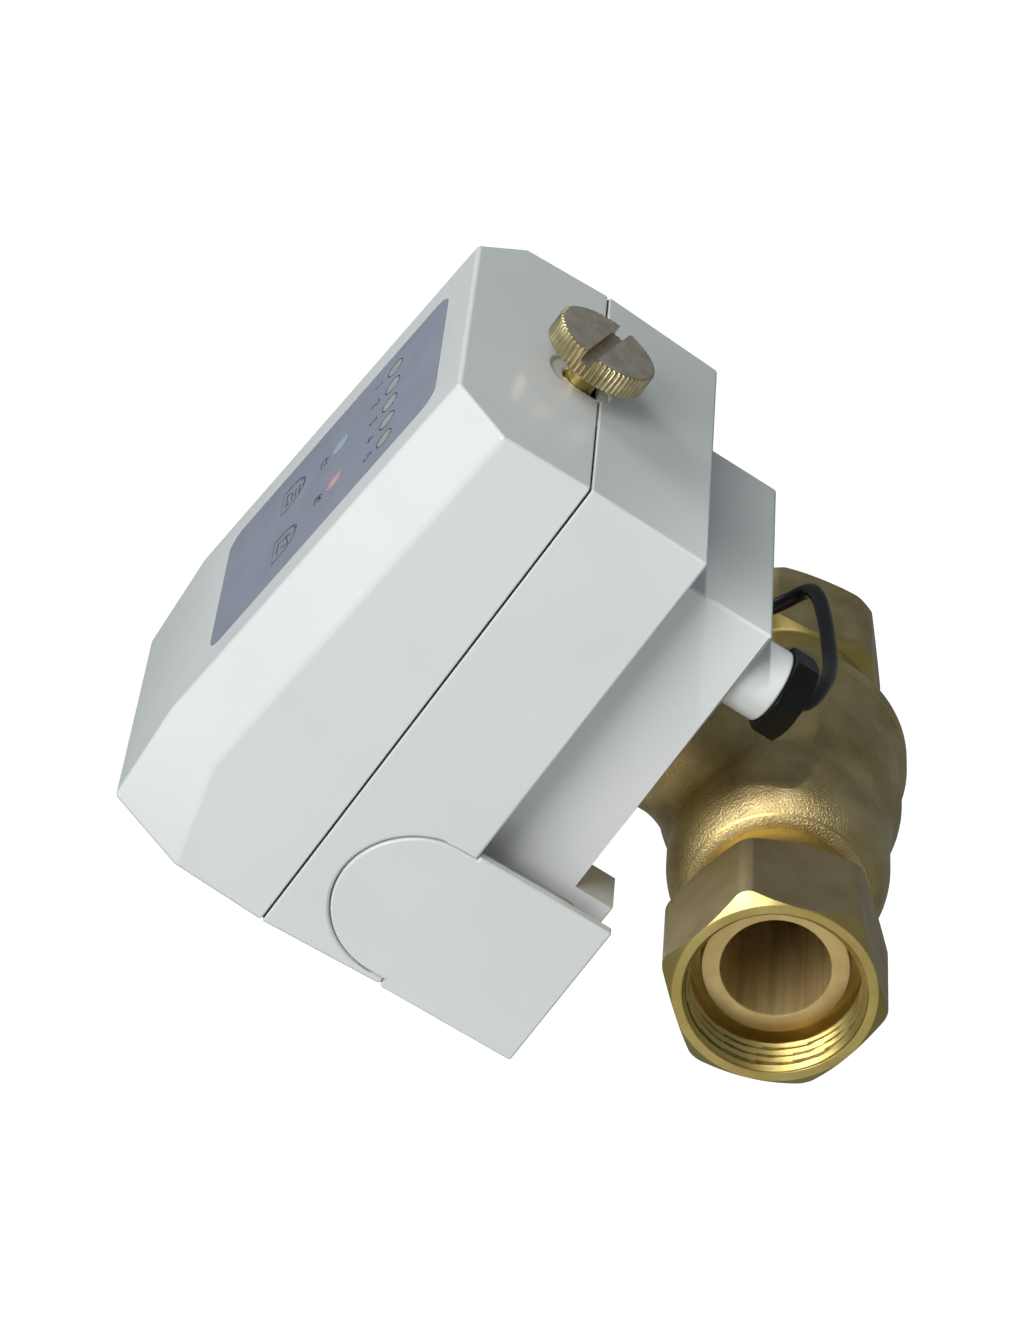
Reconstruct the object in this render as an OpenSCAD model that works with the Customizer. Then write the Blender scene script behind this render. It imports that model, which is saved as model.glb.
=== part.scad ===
// Motor-driven ball valve for a water pipe, with a hinged electronics housing on its stem.
// Frame: origin at the centre of the ball, +X along the pipe towards the fixed threaded end,
// +Z up the stem, +Y towards the hinge of the cover. Millimetres.

/* [Valve] */
// Diameter of the flow bore
bore_d = 19.5; // [16:0.5:20]
// Diameter of the ball
ball_d = 31; // [30:0.5:32]
// Diameter of the cast body at its widest rim
body_d = 47.6; // [47:0.2:54]
// Diameter of the cast barrel behind the union nut
barrel_d = 41; // [40:0.5:44]
// Diameter of the neck that carries the housing
neck_d = 25.2; // [24.4:0.2:28]
// Diameter of the stem
stem_d = 12; // [11:0.5:13]
// Wall of the union tailpiece
tail_wall = 1.6; // [1.4:0.1:2]

/* [Pipe connections] */
// Distance from the stem axis to the mouth of the union nut
union_mouth = 63; // [60:0.5:75]
// Length of the union nut
nut_len = 22; // [20:0.5:24]
// Union nut across its flats
nut_af = 36.5; // [36.4:0.1:40]
// Inside diameter of the union thread (G 1)
union_thread_d = 30.3; // [29.6:0.1:31]
// Turn of the union nut as it was left, in degrees
nut_turn = 40; // [0:1:60]
// Depth of the flat sealing ring inside the union nut
seal_depth = 8.6; // [7:0.1:9.5]
// Distance from the stem axis to the mouth of the fixed end
outlet_mouth = 62; // [60:0.5:75]
// Length of the fixed hexagon
hex_len = 22.6; // [20:0.2:24]
// Fixed hexagon across its flats
hex_af = 36.5; // [36:0.1:40]
// Turn of the fixed hexagon, in degrees
hex_turn = 49; // [0:1:60]
// Inside diameter of the fixed thread (G 3/4)
outlet_thread_d = 24.1; // [23:0.1:25]
// Depth of the fixed thread
outlet_thread_l = 16; // [14:0.5:18]

/* [Housing] */
// Width of the housing at the parting line
house_w = 79.2; // [78:0.2:90]
// Length of the housing at the parting line
house_l = 106.8; // [106:0.2:124]
// Height of the parting line above the pipe axis
parting_z = 76.2; // [74:0.2:90]
// Depth of the base below the parting line
base_h = 25; // [24:0.5:32]
// Wall of the base, the cover and the gear case
wall = 2.2; // [1.8:0.1:2.6]
// Slant of the moulded sides, in degrees
side_draft = 1.6; // [0.5:0.1:3]
// Open line between base and cover
parting_gap = 0.4; // [0.3:0.1:0.8]

/* [Cover] */
// Height of the side edge at the thumbscrew end
thumb_side_h = 17.9; // [16:0.1:20]
// Height of the top at the thumbscrew end
thumb_top_h = 27.7; // [26.5:0.1:32]
// Height of the side edge at the ridge
ridge_side_h = 24.2; // [22:0.1:26]
// Height of the top at the ridge
ridge_top_h = 34.3; // [33.6:0.1:40]
// Height of the side edge at the hinge end
hinge_side_h = 19; // [17:0.1:21]
// Height of the top at the hinge end
hinge_top_h = 33.2; // [31:0.1:33.4]
// Distance of the ridge from the hinge end
ridge_from_hinge = 22; // [18:0.5:26]
// Width of the slanted faces beside the top
bevel_w = 10.5; // [8:0.5:12]

/* [Gear case] */
// Width of the gear case
case_w = 57.8; // [57:0.2:66]
// Reach of the gear case from the stem towards the thumbscrew
case_thumb = 42.9; // [42:0.1:46]
// Reach of the gear case from the stem towards the hinge
case_hinge = 48; // [47.6:0.1:48.6]
// Depth of the gear case below the base
case_h = 20.4; // [20:0.2:26]
// Thickness of the gear case floor
case_floor_t = 2.5; // [2:0.1:3]
// Height of the legs under the gear case
leg_h = 8.3; // [4:0.1:9]
// Width of each leg
leg_w = 11; // [8:0.5:14]

/* [Side bracket] */
// Width of the round-topped tongue
tongue_w = 30.8; // [26:0.2:32]
// Height of the tongue's round centre above the base's lower edge
tongue_rise = 3.1; // [1:0.1:5]
// Width of the hanging plate
bracket_w = 33.3; // [32.6:0.1:38]
// Distance of the tongue's middle from the hinge-side edge of the plate
tongue_off = 17.2; // [16:0.1:17.4]
// Length of the hanging plate below the base
bracket_h = 28.7; // [24:0.1:32]
// Thickness of the plate
bracket_t = 2; // [1.6:0.1:2.4]
// Thickness of the pad behind the plate
pad_t = 3; // [2:0.1:4]

/* [Thumbscrew] */
// Diameter of the knurled head
head_d = 20.1; // [16:0.1:24]
// Thickness of the head
head_t = 4.7; // [4:0.1:6]
// Space between the head and the housing
head_gap = 3.8; // [3.6:0.1:5]
// Diameter of the screw
screw_d = 6; // [5:0.5:6]
// Height of the screw above the parting line
screw_rise = 4; // [3.6:0.1:6]
// Width of the slot
slot_w = 2.4; // [2:0.1:3]
// Turn of the slot seen from the head, in degrees
slot_turn = 19.3; // [0:0.1:90]

/* [Panel] */
// Width of the panel film
film_w = 43; // [40:0.5:48]
// Length of the panel film
film_l = 66.3; // [64:0.1:70]
// Distance of the film from the thumbscrew end of the top
film_from_thumb = 8; // [6:0.1:9]
// Thickness of the film
film_t = 0.5; // [0.3:0.1:0.8]
// Diameter of an indicator window
window_d = 4.4; // [3.6:0.1:5]
// Distance between the numbered windows
window_pitch = 7.2; // [6:0.1:8]
// Width of a key
key_w = 9; // [8:0.5:11]
// Length of a key
key_l = 7; // [6:0.5:8]
// Distance between the keys
key_pitch = 19.2; // [16:0.2:22]

/* [Lead] */
// Diameter of the lead
lead_d = 2.9; // [2.4:0.1:3.2]
// Diameter of the gland boss
boss_d = 14.2; // [13:0.2:16]
// Length of the gland boss
boss_l = 8.3; // [7:0.1:9]
// Gland nut across its flats
gland_af = 15; // [13:0.5:17]
// Thickness of the gland nut
gland_t = 5.1; // [4:0.1:6]

/* [Drive] */
// Size of the gear teeth (module)
tooth_m = 1; // [1:0.01:1.01]
// Teeth of the output gear
out_teeth = 40; // [40]
// Teeth of the wheel
wheel_teeth = 32; // [32]
// Teeth of each pinion
pinion_teeth = 12; // [12]
// Diameter of the motor
motor_d = 24; // [22:0.5:25]
// Length of the motor
motor_l = 28; // [24:0.5:32]
// Diameter of a battery cell
cell_d = 14.4; // [14:0.1:14.5]
// Length of a battery cell
cell_l = 50.5; // [49:0.1:51]
// Number of battery cells
cell_count = 4; // [3:1:4]

/* [Hidden] */
$fn = 64;

// Clearances
run_fit = 0.05;
thread_fit = 0.04;
free_gap = 0.3;
hole_gap = 0.15;
lead_gap = 0.4;
cell_gap = 0.1;
knuckle_gap = 0.4;
seal_gap = 0.1;
eps = 0.01;

// Heights up the stem
base_z = parting_z - base_h;
case_z = base_z - case_h;
case_top_in = case_z + case_floor_t;
lock_nut_t = 4.7;
neck_top = case_top_in + lock_nut_t;
plate_t = 2;
plate_z = base_z + wall;
plate_top = plate_z + plate_t;
wheel_t = 3;
wheel_z = base_z - 2 - wheel_t;
gear_t = 5;
gear_z = wheel_z - 0.9 - gear_t;
hub_flange_t = 1;
square_top = wheel_z + 1;
cam_z = plate_top + 1.6;
cam_t = 3.5;
coupling_top = cam_z + cam_t + 0.7;
tray_z = coupling_top + 2.2;
tray_wall = 1.6;
cell_z = tray_z + tray_wall + cell_d / 2 + 2 * cell_gap;

// Valve sizes
bore_r = bore_d / 2;
ball_r = ball_d / 2;
chamber_r = ball_r + 1.5;
body_r = body_d / 2;
barrel_r = barrel_d / 2;
neck_r = neck_d / 2;
stem_r = stem_d / 2;
neck_thread_r = stem_r + 4;
seat_back = ball_r;
seat_front = sqrt(ball_r * ball_r - bore_r * bore_r) - 1.4;
seat_touch = asin((bore_r + 0.9) / ball_r);
seat_cone_x = (ball_r + run_fit - (bore_r + 0.3) * sin(seat_touch)) / cos(seat_touch);
seat_cone_r = (ball_r + run_fit - seat_front * cos(seat_touch)) / sin(seat_touch);
rim_x = seat_back + 4.5;
nut_back = union_mouth - nut_len;
body_near = nut_back - 4;
dome_x = body_near - 6.8;
dome_l = 10.2;
dome_rise = 5.9;
collar_r = barrel_r - dome_rise;
belly_r = body_r - 1.05;
flare_x = -9;
flare_l = 12.2;
step_l = 6;
step_x = rim_x - 3.5 - step_l;
tail_r = bore_r + tail_wall;
flange_r = tail_r + 2;
flange_t = 3.7;
tail_end = body_near - 15;
seal_x = union_mouth - seal_depth;
nut_corner_r = nut_af / 2 + 1.9;
nut_relief_r = union_thread_d / 2 + 0.5;
hex_corner_r = hex_af / 2 + 1.9;
hex_back = outlet_mouth - hex_len;
cap_waist_r = hex_af / 2 - 0.7;
square_w = stem_d * 0.72;
ring_r = 0.9;
stem_ring_z = [case_z - 5.5, case_z - 1.5];
tang_w = 5.8;
slot_floor = ball_r - 3.5;
stem_collar_t = 2.6;
stem_collar_z = ball_r + 0.4;
shaft_top = gear_z - hub_flange_t - 0.2;

// Gear train
out_r = out_teeth * tooth_m / 2;
wheel_r = wheel_teeth * tooth_m / 2;
pinion_r = pinion_teeth * tooth_m / 2;
tooth_tip = 0.8 * tooth_m;
pinion_side_gap = 0.85;
pinion_end_gap = 2;
motor_x = -(case_w / 2 - wall - pinion_side_gap - pinion_r - tooth_tip);
motor_y = case_hinge - wall - pinion_end_gap - pinion_r - tooth_tip;
// The motor stands in a corner of the gear case, and the wheel where it meets the motor and the large gear
motor_off = norm([motor_x, motor_y]);
wheel_off = out_r + pinion_r;
motor_mesh = wheel_r + pinion_r;
wheel_turn = atan2(motor_y, motor_x) - acos((motor_off * motor_off + wheel_off * wheel_off
    - motor_mesh * motor_mesh) / (2 * motor_off * wheel_off));
wheel_at = [wheel_off * cos(wheel_turn), wheel_off * sin(wheel_turn), 0];
wheel_phase = wheel_turn * (1 + out_teeth / pinion_teeth) + 180 - 180 / pinion_teeth;
motor_turn = atan2(motor_y - wheel_at[1], motor_x - wheel_at[0]);
hub_r = square_w / sqrt(2) + 1.4;
journal_r = 5;
axle_r = 2;
axle_z = case_z + 1.4;
shaft_r = 1;
motor_boss_r = 3;
motor_ear_turns = [0, -75];
motor_ear_off = motor_d / 2 + 3;
motor_ear_t = 2;
switch_x = 10.4;
switch_w = 5.8;
switch_l = 12.8;
switch_h = 6.6;

// Housing
half_w = house_w / 2;
half_l = house_l / 2;
draft = tan(side_draft);
base_in = base_h * draft;
hinge_y = half_l + 0.2;
hinge_r = 2.4;
hinge_pin_r = 1;
hinge_mid = 12;
hinge_end = 24;
knuckle_l = hinge_end - hinge_mid - knuckle_gap;
knuckle_x = (hinge_mid + hinge_end) / 2;
screw_z = parting_z + screw_rise;
lug_y = -half_l + wall + 2.4;
insert_l = 5.5;
lug_l = insert_l + 1.3;
insert_r = screw_d / 2 + 1.4;
lug_w = 2 * insert_r + 5;
screw_tip = lug_y + insert_l - 1.2;
recess_d = screw_d + 6.18;
recess_t = 0.8;
head_back = -half_l - head_gap;
washer_t = 1.2;
slot_depth = 2;
ribs = 60;
rib_depth = 0.42;
floor_open_x = -motor_x + motor_boss_r + 0.45;
floor_open_y0 = -9.5;
floor_open_y1 = motor_y + motor_boss_r + 1;
plate_w = 2 * floor_open_x + 8;
plate_y0 = -13.5;
plate_y1 = floor_open_y1 + 1.5;
plate_screw_x = floor_open_x + 1.5;
plate_screw_y = [plate_y0 + 2.2, 22];
screw_r = 1.25;
screw_head_r = 2.2;
screw_head_t = 1.5;
screw_boss_r = 2.6;
leg_y0 = 20;
groove_in = 0.5;
groove_w = 1.2;
groove_t = 1;
case_screw_x = case_w / 2 - 4.4;
case_screw_y = [-case_thumb + 4.4, case_hinge - 2.8];
tray_l = cell_count * (cell_d + cell_gap) + 2 * tray_wall + 4 * cell_gap;
tray_y0 = lug_y + lug_l + 0.5;
tray_y1 = tray_y0 + tray_l;
tray_x = cell_l / 2 + 1.2 + tray_wall;
tray_h = cell_d * 0.72;
ear_r = 3;
ear_x = tray_x + ear_r - 0.2;
ear_y = [tray_y0 + 14, tray_y1 - 5];
ear_t = 2;
cell_y0 = tray_y0 + tray_wall + 2 * cell_gap;
cell_y = [for (i = [0:cell_count - 1]) cell_y0 + (i + 0.5) * (cell_d + cell_gap)];
contact_t = 1;
contact_w = 9;
bracket_y1 = half_l - 0.4;
bracket_y0 = bracket_y1 - bracket_w;

// Panel: local x across, local y up the slope from the thumbscrew end, local z out of the cover
thumb_top_y = -half_l + thumb_top_h * draft;
ridge_y = half_l - ridge_from_hinge;
panel_tilt = atan2(ridge_top_h - thumb_top_h, ridge_y - thumb_top_y);
film_y0 = film_from_thumb;
zone_y = film_y0 + 15.2;
state_y = zone_y + 15.6;
key_y = state_y + 14.4;
state_pitch = 14.6;
film_gap = 0.15;
key_flange = 1;
key_flange_t = 0.8;
board_top = -8;
board_t = 1.6;
board_w = 40;
board_y0 = film_y0 - 2;
board_l = film_l - 6;
post_r = 2.6;
post_x = board_w / 2 - 3;
post_y = [board_y0 + 3, board_y0 + board_l - 3];
led_r = 1.5;
key_foot = -wall - key_flange_t - 0.3;
plunger_top = key_foot - 0.8;
window_foot = -wall - 1.6;
// Centres of the numbered windows, the two state windows and the two keys
zone_places = [for (i = [-2:2]) [i * window_pitch, zone_y]];
open_place = [state_pitch / 2, state_y];
shut_place = [-state_pitch / 2, state_y];
window_places = concat(zone_places, [open_place, shut_place]);
open_key_place = [key_pitch / 2, key_y];
shut_key_place = [-key_pitch / 2, key_y];
key_places = [open_key_place, shut_key_place];

// Gland and lead
boss_x = -case_w / 2 + boss_d / 2 + 1.8;
boss_y = -30.5;
boss_end = case_z - boss_l;
gland_end = boss_end - gland_t;
spigot_r = 4.6;
spigot_l = 3;
seal_t = 2.5;
grommet_x = case_w / 2 - 6.4;
grommet_y = -16;
grommet_r = 3.2;
grommet_t = 2.2;
grommet_plug_r = 2.4;
// Route of the lead from the gland seal round under the gear case to its grommet
lead_route = [
    [boss_x, boss_y, gland_end + gland_t + spigot_l], [boss_x, boss_y, 20], [boss_x, boss_y, 17.8],
    [-19.6, -30.7, 16.2], [-18.4, -31.1, 15.1], [-16.6, -31.6, 14.2], [-13.8, -32.2, 13.3],
    [-11, -32.5, 12.6], [-8, -32.5, 11.9], [-3, -32.3, 11.3], [2, -32.3, 11.4], [7, -32.4, 11.9],
    [12, -32.6, 12.6], [16.5, -32.7, 13.4], [20.5, -32.5, 14.2], [23.4, -31.6, 15], [25.1, -29.6, 15.7],
    [25.6, -27.1, 16.6], [25.4, -24.7, 17.9], [24.7, -22.4, 19.6], [23.7, -19.6, 21.8], [22.9, -17.4, 24],
    [grommet_x, grommet_y, 26.6],
    [grommet_x, grommet_y, case_z - grommet_t]];
lead_sides = 8;

// Colours
white = "#dfe2e0";
cast_brass = "#a58a4e";
turned_brass = "#c9a655";
steel = "#b9bcc0";
black = "#1d1e20";
rubber = "#2b2b2d";
acetal = "#e9e6d8";
panel_grey = "#8c92a3";

// Turn a z-up piece to lie along X or along Y
module along_x() rotate([0, 90, 0]) children();
module along_y() rotate([-90, 0, 0]) children();

// A turned piece on the X axis, from points of [radius, x]
module turned(points) along_x() rotate_extrude($fn = 96) polygon(points);

function arc(c, r, a0, a1, n) = [for (i = [0:n]) let (a = a0 + (a1 - a0) * i / n)
    [c[0] + r * cos(a), c[1] + r * sin(a)]];

// A box with slanted sides between two level rectangles [x0, x1, y0, y1, z]
module taper_box(low, high) polyhedron(
    points = [for (r = [low, high]) each [[r[0], r[2], r[4]], [r[1], r[2], r[4]],
                                          [r[1], r[3], r[4]], [r[0], r[3], r[4]]]],
    faces = [[0, 1, 2, 3], [4, 7, 6, 5], [0, 4, 5, 1], [1, 5, 6, 2], [2, 6, 7, 3], [3, 7, 4, 0]]);

// A box given by its lowest and highest corners
module span_box(low, high) translate(low) cube(high - low);

// A box as large as the housing's rim, less an inset all round
module rim_box(inset, z0, z1) span_box([-half_w + inset, -half_l + inset, z0],
                                       [half_w - inset, half_l - inset, z1]);

// A hexagon bar on the X axis with turned corners and chamfered ends
module hex_bar(x0, x1, flats, corner, turn) intersection() {
    translate([x0, 0, 0]) along_x() rotate([0, 0, turn]) cylinder(d = flats / cos(30), h = x1 - x0, $fn = 6);
    turned([[0, x0], [flats / 2 + 0.2, x0], [corner, x0 + 1.6], [corner, x1 - 1.6],
            [flats / 2 + 0.2, x1], [0, x1]]);
}

// Straight-flanked spur gear outline
module gear_outline(teeth) {
    backlash = 0.4 * tooth_m;
    pitch = teeth * tooth_m / 2;
    root = pitch - 1.15 * tooth_m;
    tip = pitch + tooth_tip;
    function half(r) = ((PI * tooth_m / 2 - backlash) / 2 - (r - pitch) * tan(20)) / r * 180 / PI;
    polygon([for (i = [0:teeth - 1]) each [for (c = [[root, -1], [tip, -1], [tip, 1], [root, 1]])
        let (a = i * 360 / teeth + c[1] * half(c[0])) [c[0] * cos(a), c[0] * sin(a)]]]);
}

// A pan-head screw pointing down, its head resting on z = 0
module screw(length) {
    cylinder(r = screw_head_r, h = screw_head_t, $fn = 32);
    translate([0, 0, -length]) cylinder(r = screw_r, h = length + eps, $fn = 32);
}

// Local frame of the sloping panel
module on_panel() translate([0, thumb_top_y, parting_z + thumb_top_h]) rotate([panel_tilt, 0, 0]) children();

// The line that the cover turns about
module along_hinge() translate([0, hinge_y, parting_z]) along_x() children();

// Cast body: barrel, ball chamber, rim and neck
module valve_body() color(cast_brass) difference() {
    union() {
        turned(concat(
            [[0, -body_near], [collar_r, -body_near]],
            [for (a = [0:10:90]) [collar_r + dome_rise * sin(a), -dome_x + dome_l * (1 - cos(a))]],
            [for (u = [0:0.1:1]) let (rise = (belly_r - barrel_r) * u * u * (3 - 2 * u))
                [barrel_r + rise, flare_x + flare_l * u]],
            [for (u = [0:0.2:1]) [belly_r + (body_r - belly_r) * u * u, step_x + step_l * u]],
            [[body_r, rim_x - 0.2], [body_r - 0.2, rim_x], [0, rim_x]]));
        cylinder(r = neck_r, h = case_z);
        cylinder(r = neck_thread_r, h = neck_top);
    }
    turned([[0, -body_near - 1], [tail_r + thread_fit, -body_near - 1], [tail_r + thread_fit, -tail_end],
            [bore_r, -tail_end], [bore_r, -seat_back], [chamber_r, -seat_back], [chamber_r, rim_x + 1],
            [0, rim_x + 1]]);
    cylinder(r = stem_r + run_fit, h = neck_top + 1);
    cylinder(r = stem_r + 2 + free_gap, h = stem_collar_z + stem_collar_t + free_gap);
}

// Hexagon end screwed into the body behind the ball
module end_cap() color(cast_brass) difference() {
    union() {
        turned([[0, seat_back], [chamber_r - thread_fit, seat_back], [chamber_r - thread_fit, rim_x],
                [body_r - 0.2, rim_x], [body_r, rim_x + 0.2], [body_r, rim_x + 0.8],
                [body_r - 0.8, rim_x + 3.2], [body_r - 2.4, rim_x + 5], [cap_waist_r + 2.4, rim_x + 5.2],
                [cap_waist_r + 0.7, rim_x + 6.2], [cap_waist_r, rim_x + 8], [cap_waist_r, hex_back + 2],
                [0, hex_back + 2]]);
        hex_bar(hex_back, outlet_mouth, hex_af, hex_corner_r, hex_turn);
    }
    turned([[0, seat_back - 1], [bore_r, seat_back - 1], [bore_r, outlet_mouth - outlet_thread_l],
            [outlet_thread_d / 2, outlet_mouth - outlet_thread_l], [outlet_thread_d / 2, outlet_mouth - 1.5],
            [outlet_thread_d / 2 + 1.6, outlet_mouth + 0.1], [0, outlet_mouth + 0.1]]);
    turned([[chamber_r - 1.4, rim_x - 2.6], [chamber_r + 1, rim_x - 2.6],
        [chamber_r + 1, rim_x - 0.8], [chamber_r - 1.4, rim_x - 0.8]]);
}

// Turned sleeve with the flat sealing ring, screwed into the body
module tailpiece() color(turned_brass) turned([
    [bore_r, -seal_x], [flange_r - 0.4, -seal_x], [flange_r, -seal_x + 0.4], [flange_r, -seal_x + flange_t],
    [tail_r, -seal_x + flange_t], [tail_r, -tail_end], [bore_r, -tail_end]]);

// Loose nut that draws the pipe onto the sealing ring
module union_nut() color(turned_brass) difference() {
    hex_bar(-union_mouth, -nut_back, nut_af, nut_corner_r, nut_turn);
    turned([[0, -union_mouth - 0.1], [union_thread_d / 2 + 1.7, -union_mouth - 0.1],
            [union_thread_d / 2, -union_mouth + 1.4], [union_thread_d / 2, -seal_x - 0.2],
            [nut_relief_r, -seal_x - 0.2], [nut_relief_r, -seal_x + flange_t + free_gap],
            [tail_r + free_gap, -seal_x + flange_t + free_gap], [tail_r + free_gap, -nut_back + 1],
            [0, -nut_back + 1]]);
}

// Chromed ball with its flow bore and the slot for the stem
module ball() color("#c8cbd0") difference() {
    sphere(r = ball_r, $fn = 96);
    along_x() cylinder(r = bore_r, h = 2 * ball_d, center = true);
    translate([-tang_w / 2 - 0.1, -ball_r, slot_floor]) cube([tang_w + 0.2, ball_d, ball_r]);
}

// Two seats that the ball turns between
module seat_rings() color("#f2f2ee") for (side = [0, 180]) rotate([0, 0, side])
    turned([[bore_r + 0.3, seat_cone_x], [seat_cone_r, seat_front], [chamber_r - 0.2, seat_front],
            [chamber_r - 0.2, seat_back], [bore_r + 0.3, seat_back]]);

// Ring that seals the end cap in the body
module body_o_ring() color(black) translate([rim_x - 1.7, 0, 0]) along_x()
    rotate_extrude() translate([chamber_r - 0.72, 0]) circle(r = 0.65, $fn = 24);

// Stem: tang in the ball, retaining collar, shaft and square
module stem() color(turned_brass) difference() {
    union() {
        translate([-tang_w / 2, -stem_r - 1, slot_floor + 0.2])
            cube([tang_w, stem_d + 2, stem_collar_z - slot_floor]);
        translate([0, 0, stem_collar_z]) cylinder(r = stem_r + 2, h = stem_collar_t);
        translate([0, 0, stem_collar_z]) cylinder(r = stem_r, h = shaft_top - stem_collar_z);
        translate([0, 0, gear_z - hub_flange_t - 1])
            cylinder(d = square_w * sqrt(2), h = square_top - gear_z + hub_flange_t + 1, $fn = 4);
    }
    for (z = stem_ring_z) translate([0, 0, z]) difference() {
        cylinder(r = stem_r + 1, h = 2 * ring_r + 0.2, center = true);
        cylinder(r = stem_r - 2 * ring_r, h = 3, center = true);
    }
}

// Rings that seal the stem in the neck
module stem_o_rings() color(black) for (z = stem_ring_z) translate([0, 0, z])
    rotate_extrude() translate([stem_r - ring_r, 0]) circle(r = ring_r - 0.02, $fn = 24);

// Nut that clamps the floor of the gear case on the neck
module neck_lock_nut() color(turned_brass) translate([0, 0, case_top_in]) difference() {
    cylinder(r = neck_thread_r + 5, h = lock_nut_t, $fn = 6);
    translate([0, 0, -1]) cylinder(r = neck_thread_r + thread_fit, h = lock_nut_t + 2);
}

// Gear case under the base, with its legs, gland boss and screw bosses
module gear_case() color(white) difference() {
    union() {
        difference() {
            span_box([-case_w / 2, -case_thumb, case_z], [case_w / 2, case_hinge, base_z]);
            span_box([-case_w / 2 + wall, -case_thumb + wall, case_top_in],
                     [case_w / 2 - wall, case_hinge - wall, base_z + 1]);
        }
        for (side = [-1, 1]) span_box(
            [side > 0 ? case_w / 2 - leg_w : -case_w / 2, leg_y0, case_z - leg_h],
            [side > 0 ? case_w / 2 : -case_w / 2 + leg_w, case_hinge, case_z + eps]);
        for (x = [-1, 1], y = case_screw_y) translate([x * case_screw_x, y, case_z + 1])
            cylinder(r = screw_boss_r, h = base_z - case_z - 1);
        translate([boss_x, boss_y, boss_end]) cylinder(d = boss_d, h = boss_l + 1);
        translate(wheel_at + [0, 0, case_z + 1]) cylinder(r = axle_r + 2, h = gear_z - 0.6 - case_z - 1);
    }
    translate([0, 0, case_z - 1]) cylinder(r = neck_thread_r + free_gap, h = case_floor_t + 2);
    for (x = [-1, 1], y = case_screw_y) translate([x * case_screw_x, y, base_z - 9])
        cylinder(r = screw_r + thread_fit, h = 10, $fn = 32);
    translate([boss_x, boss_y, boss_end - 1]) cylinder(r = spigot_r + thread_fit, h = spigot_l + seal_t + 1);
    translate([boss_x, boss_y, boss_end]) cylinder(r = lead_d / 2 + lead_gap, h = boss_l + 5);
    translate([grommet_x, grommet_y, case_z - 1])
        cylinder(r = grommet_plug_r + run_fit, h = case_floor_t + 2);
    translate(wheel_at + [0, 0, axle_z]) cylinder(r = axle_r + thread_fit, h = case_h, $fn = 32);
}

// Steel hub on the square of the stem, with the journal that carries the cam
module drive_coupling() color(steel) difference() {
    union() {
        translate([0, 0, gear_z - hub_flange_t]) cylinder(r = hub_r + 2, h = hub_flange_t);
        translate([0, 0, gear_z - hub_flange_t])
            cylinder(r = hub_r, h = square_top + 1.4 - gear_z + hub_flange_t);
        translate([0, 0, square_top]) cylinder(r = journal_r, h = coupling_top - square_top);
    }
    translate([0, 0, gear_z - hub_flange_t - eps])
        cylinder(d = (square_w + 0.1) * sqrt(2), h = square_top - gear_z + hub_flange_t + 0.3, $fn = 4);
}

// Large gear on the coupling
module output_gear() color(acetal) translate([0, 0, gear_z]) difference() {
    linear_extrude(gear_t) gear_outline(out_teeth);
    translate([0, 0, -1]) cylinder(r = hub_r + 0.02, h = gear_t + 2);
    for (a = [0:60:300]) rotate([0, 0, a]) translate([(out_r + hub_r) / 2 - 0.4, 0, -1])
        cylinder(r = 3, h = gear_t + 2, $fn = 32);
}

// Wheel with its own pinion between the motor and the output gear
module reduction_wheel() color(acetal) translate(wheel_at) difference() {
    union() {
        translate([0, 0, gear_z - 0.2]) rotate([0, 0, wheel_phase])
            linear_extrude(wheel_z - gear_z + 0.3) gear_outline(pinion_teeth);
        translate([0, 0, wheel_z]) rotate([0, 0, motor_turn])
            linear_extrude(wheel_t) gear_outline(wheel_teeth);
    }
    translate([0, 0, gear_z - 1])
        cylinder(r = axle_r + run_fit, h = wheel_z + wheel_t - gear_z + 2, $fn = 32);
}

// Steel pin that the wheel turns on
module wheel_axle() color(steel) translate(wheel_at + [0, 0, axle_z])
    cylinder(r = axle_r, h = plate_top - axle_z, $fn = 32);

// Motor shaft with its pinion
module motor_pinion() color(turned_brass) translate([motor_x, motor_y, 0]) union() {
    translate([0, 0, wheel_z - 0.4]) rotate([0, 0, motor_turn + 180 / pinion_teeth])
        linear_extrude(wheel_t + 1) gear_outline(pinion_teeth);
    translate([0, 0, wheel_z - 0.4]) cylinder(r = shaft_r, h = plate_top + 6 - wheel_z, $fn = 32);
}

// Motor standing on the gear plate
module motor() color(steel) translate([motor_x, motor_y, 0]) difference() {
    union() {
        translate([0, 0, plate_top]) cylinder(d = motor_d, h = motor_l);
        translate([0, 0, plate_z + 0.2]) cylinder(r = motor_boss_r, h = plate_t);
        translate([0, 0, plate_top]) cylinder(r = 4, h = motor_l + 2);
        for (a = motor_ear_turns) rotate([0, 0, a]) {
            translate([0, -3, plate_top]) cube([motor_ear_off, 6, motor_ear_t]);
            translate([motor_ear_off, 0, plate_top]) cylinder(r = 3, h = motor_ear_t, $fn = 32);
        }
    }
    translate([0, 0, plate_z]) cylinder(r = shaft_r + run_fit, h = plate_t + 8, $fn = 32);
    for (a = motor_ear_turns) rotate([0, 0, a]) translate([motor_ear_off, 0, plate_top - 1])
        cylinder(r = screw_r + hole_gap, h = motor_ear_t + 2, $fn = 32);
}

// Screws through the ears of the motor
module motor_screws() color(steel) translate([motor_x, motor_y, plate_top + motor_ear_t])
    for (a = motor_ear_turns) rotate([0, 0, a]) translate([motor_ear_off, 0, 0])
        screw(plate_t + motor_ear_t);

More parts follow.
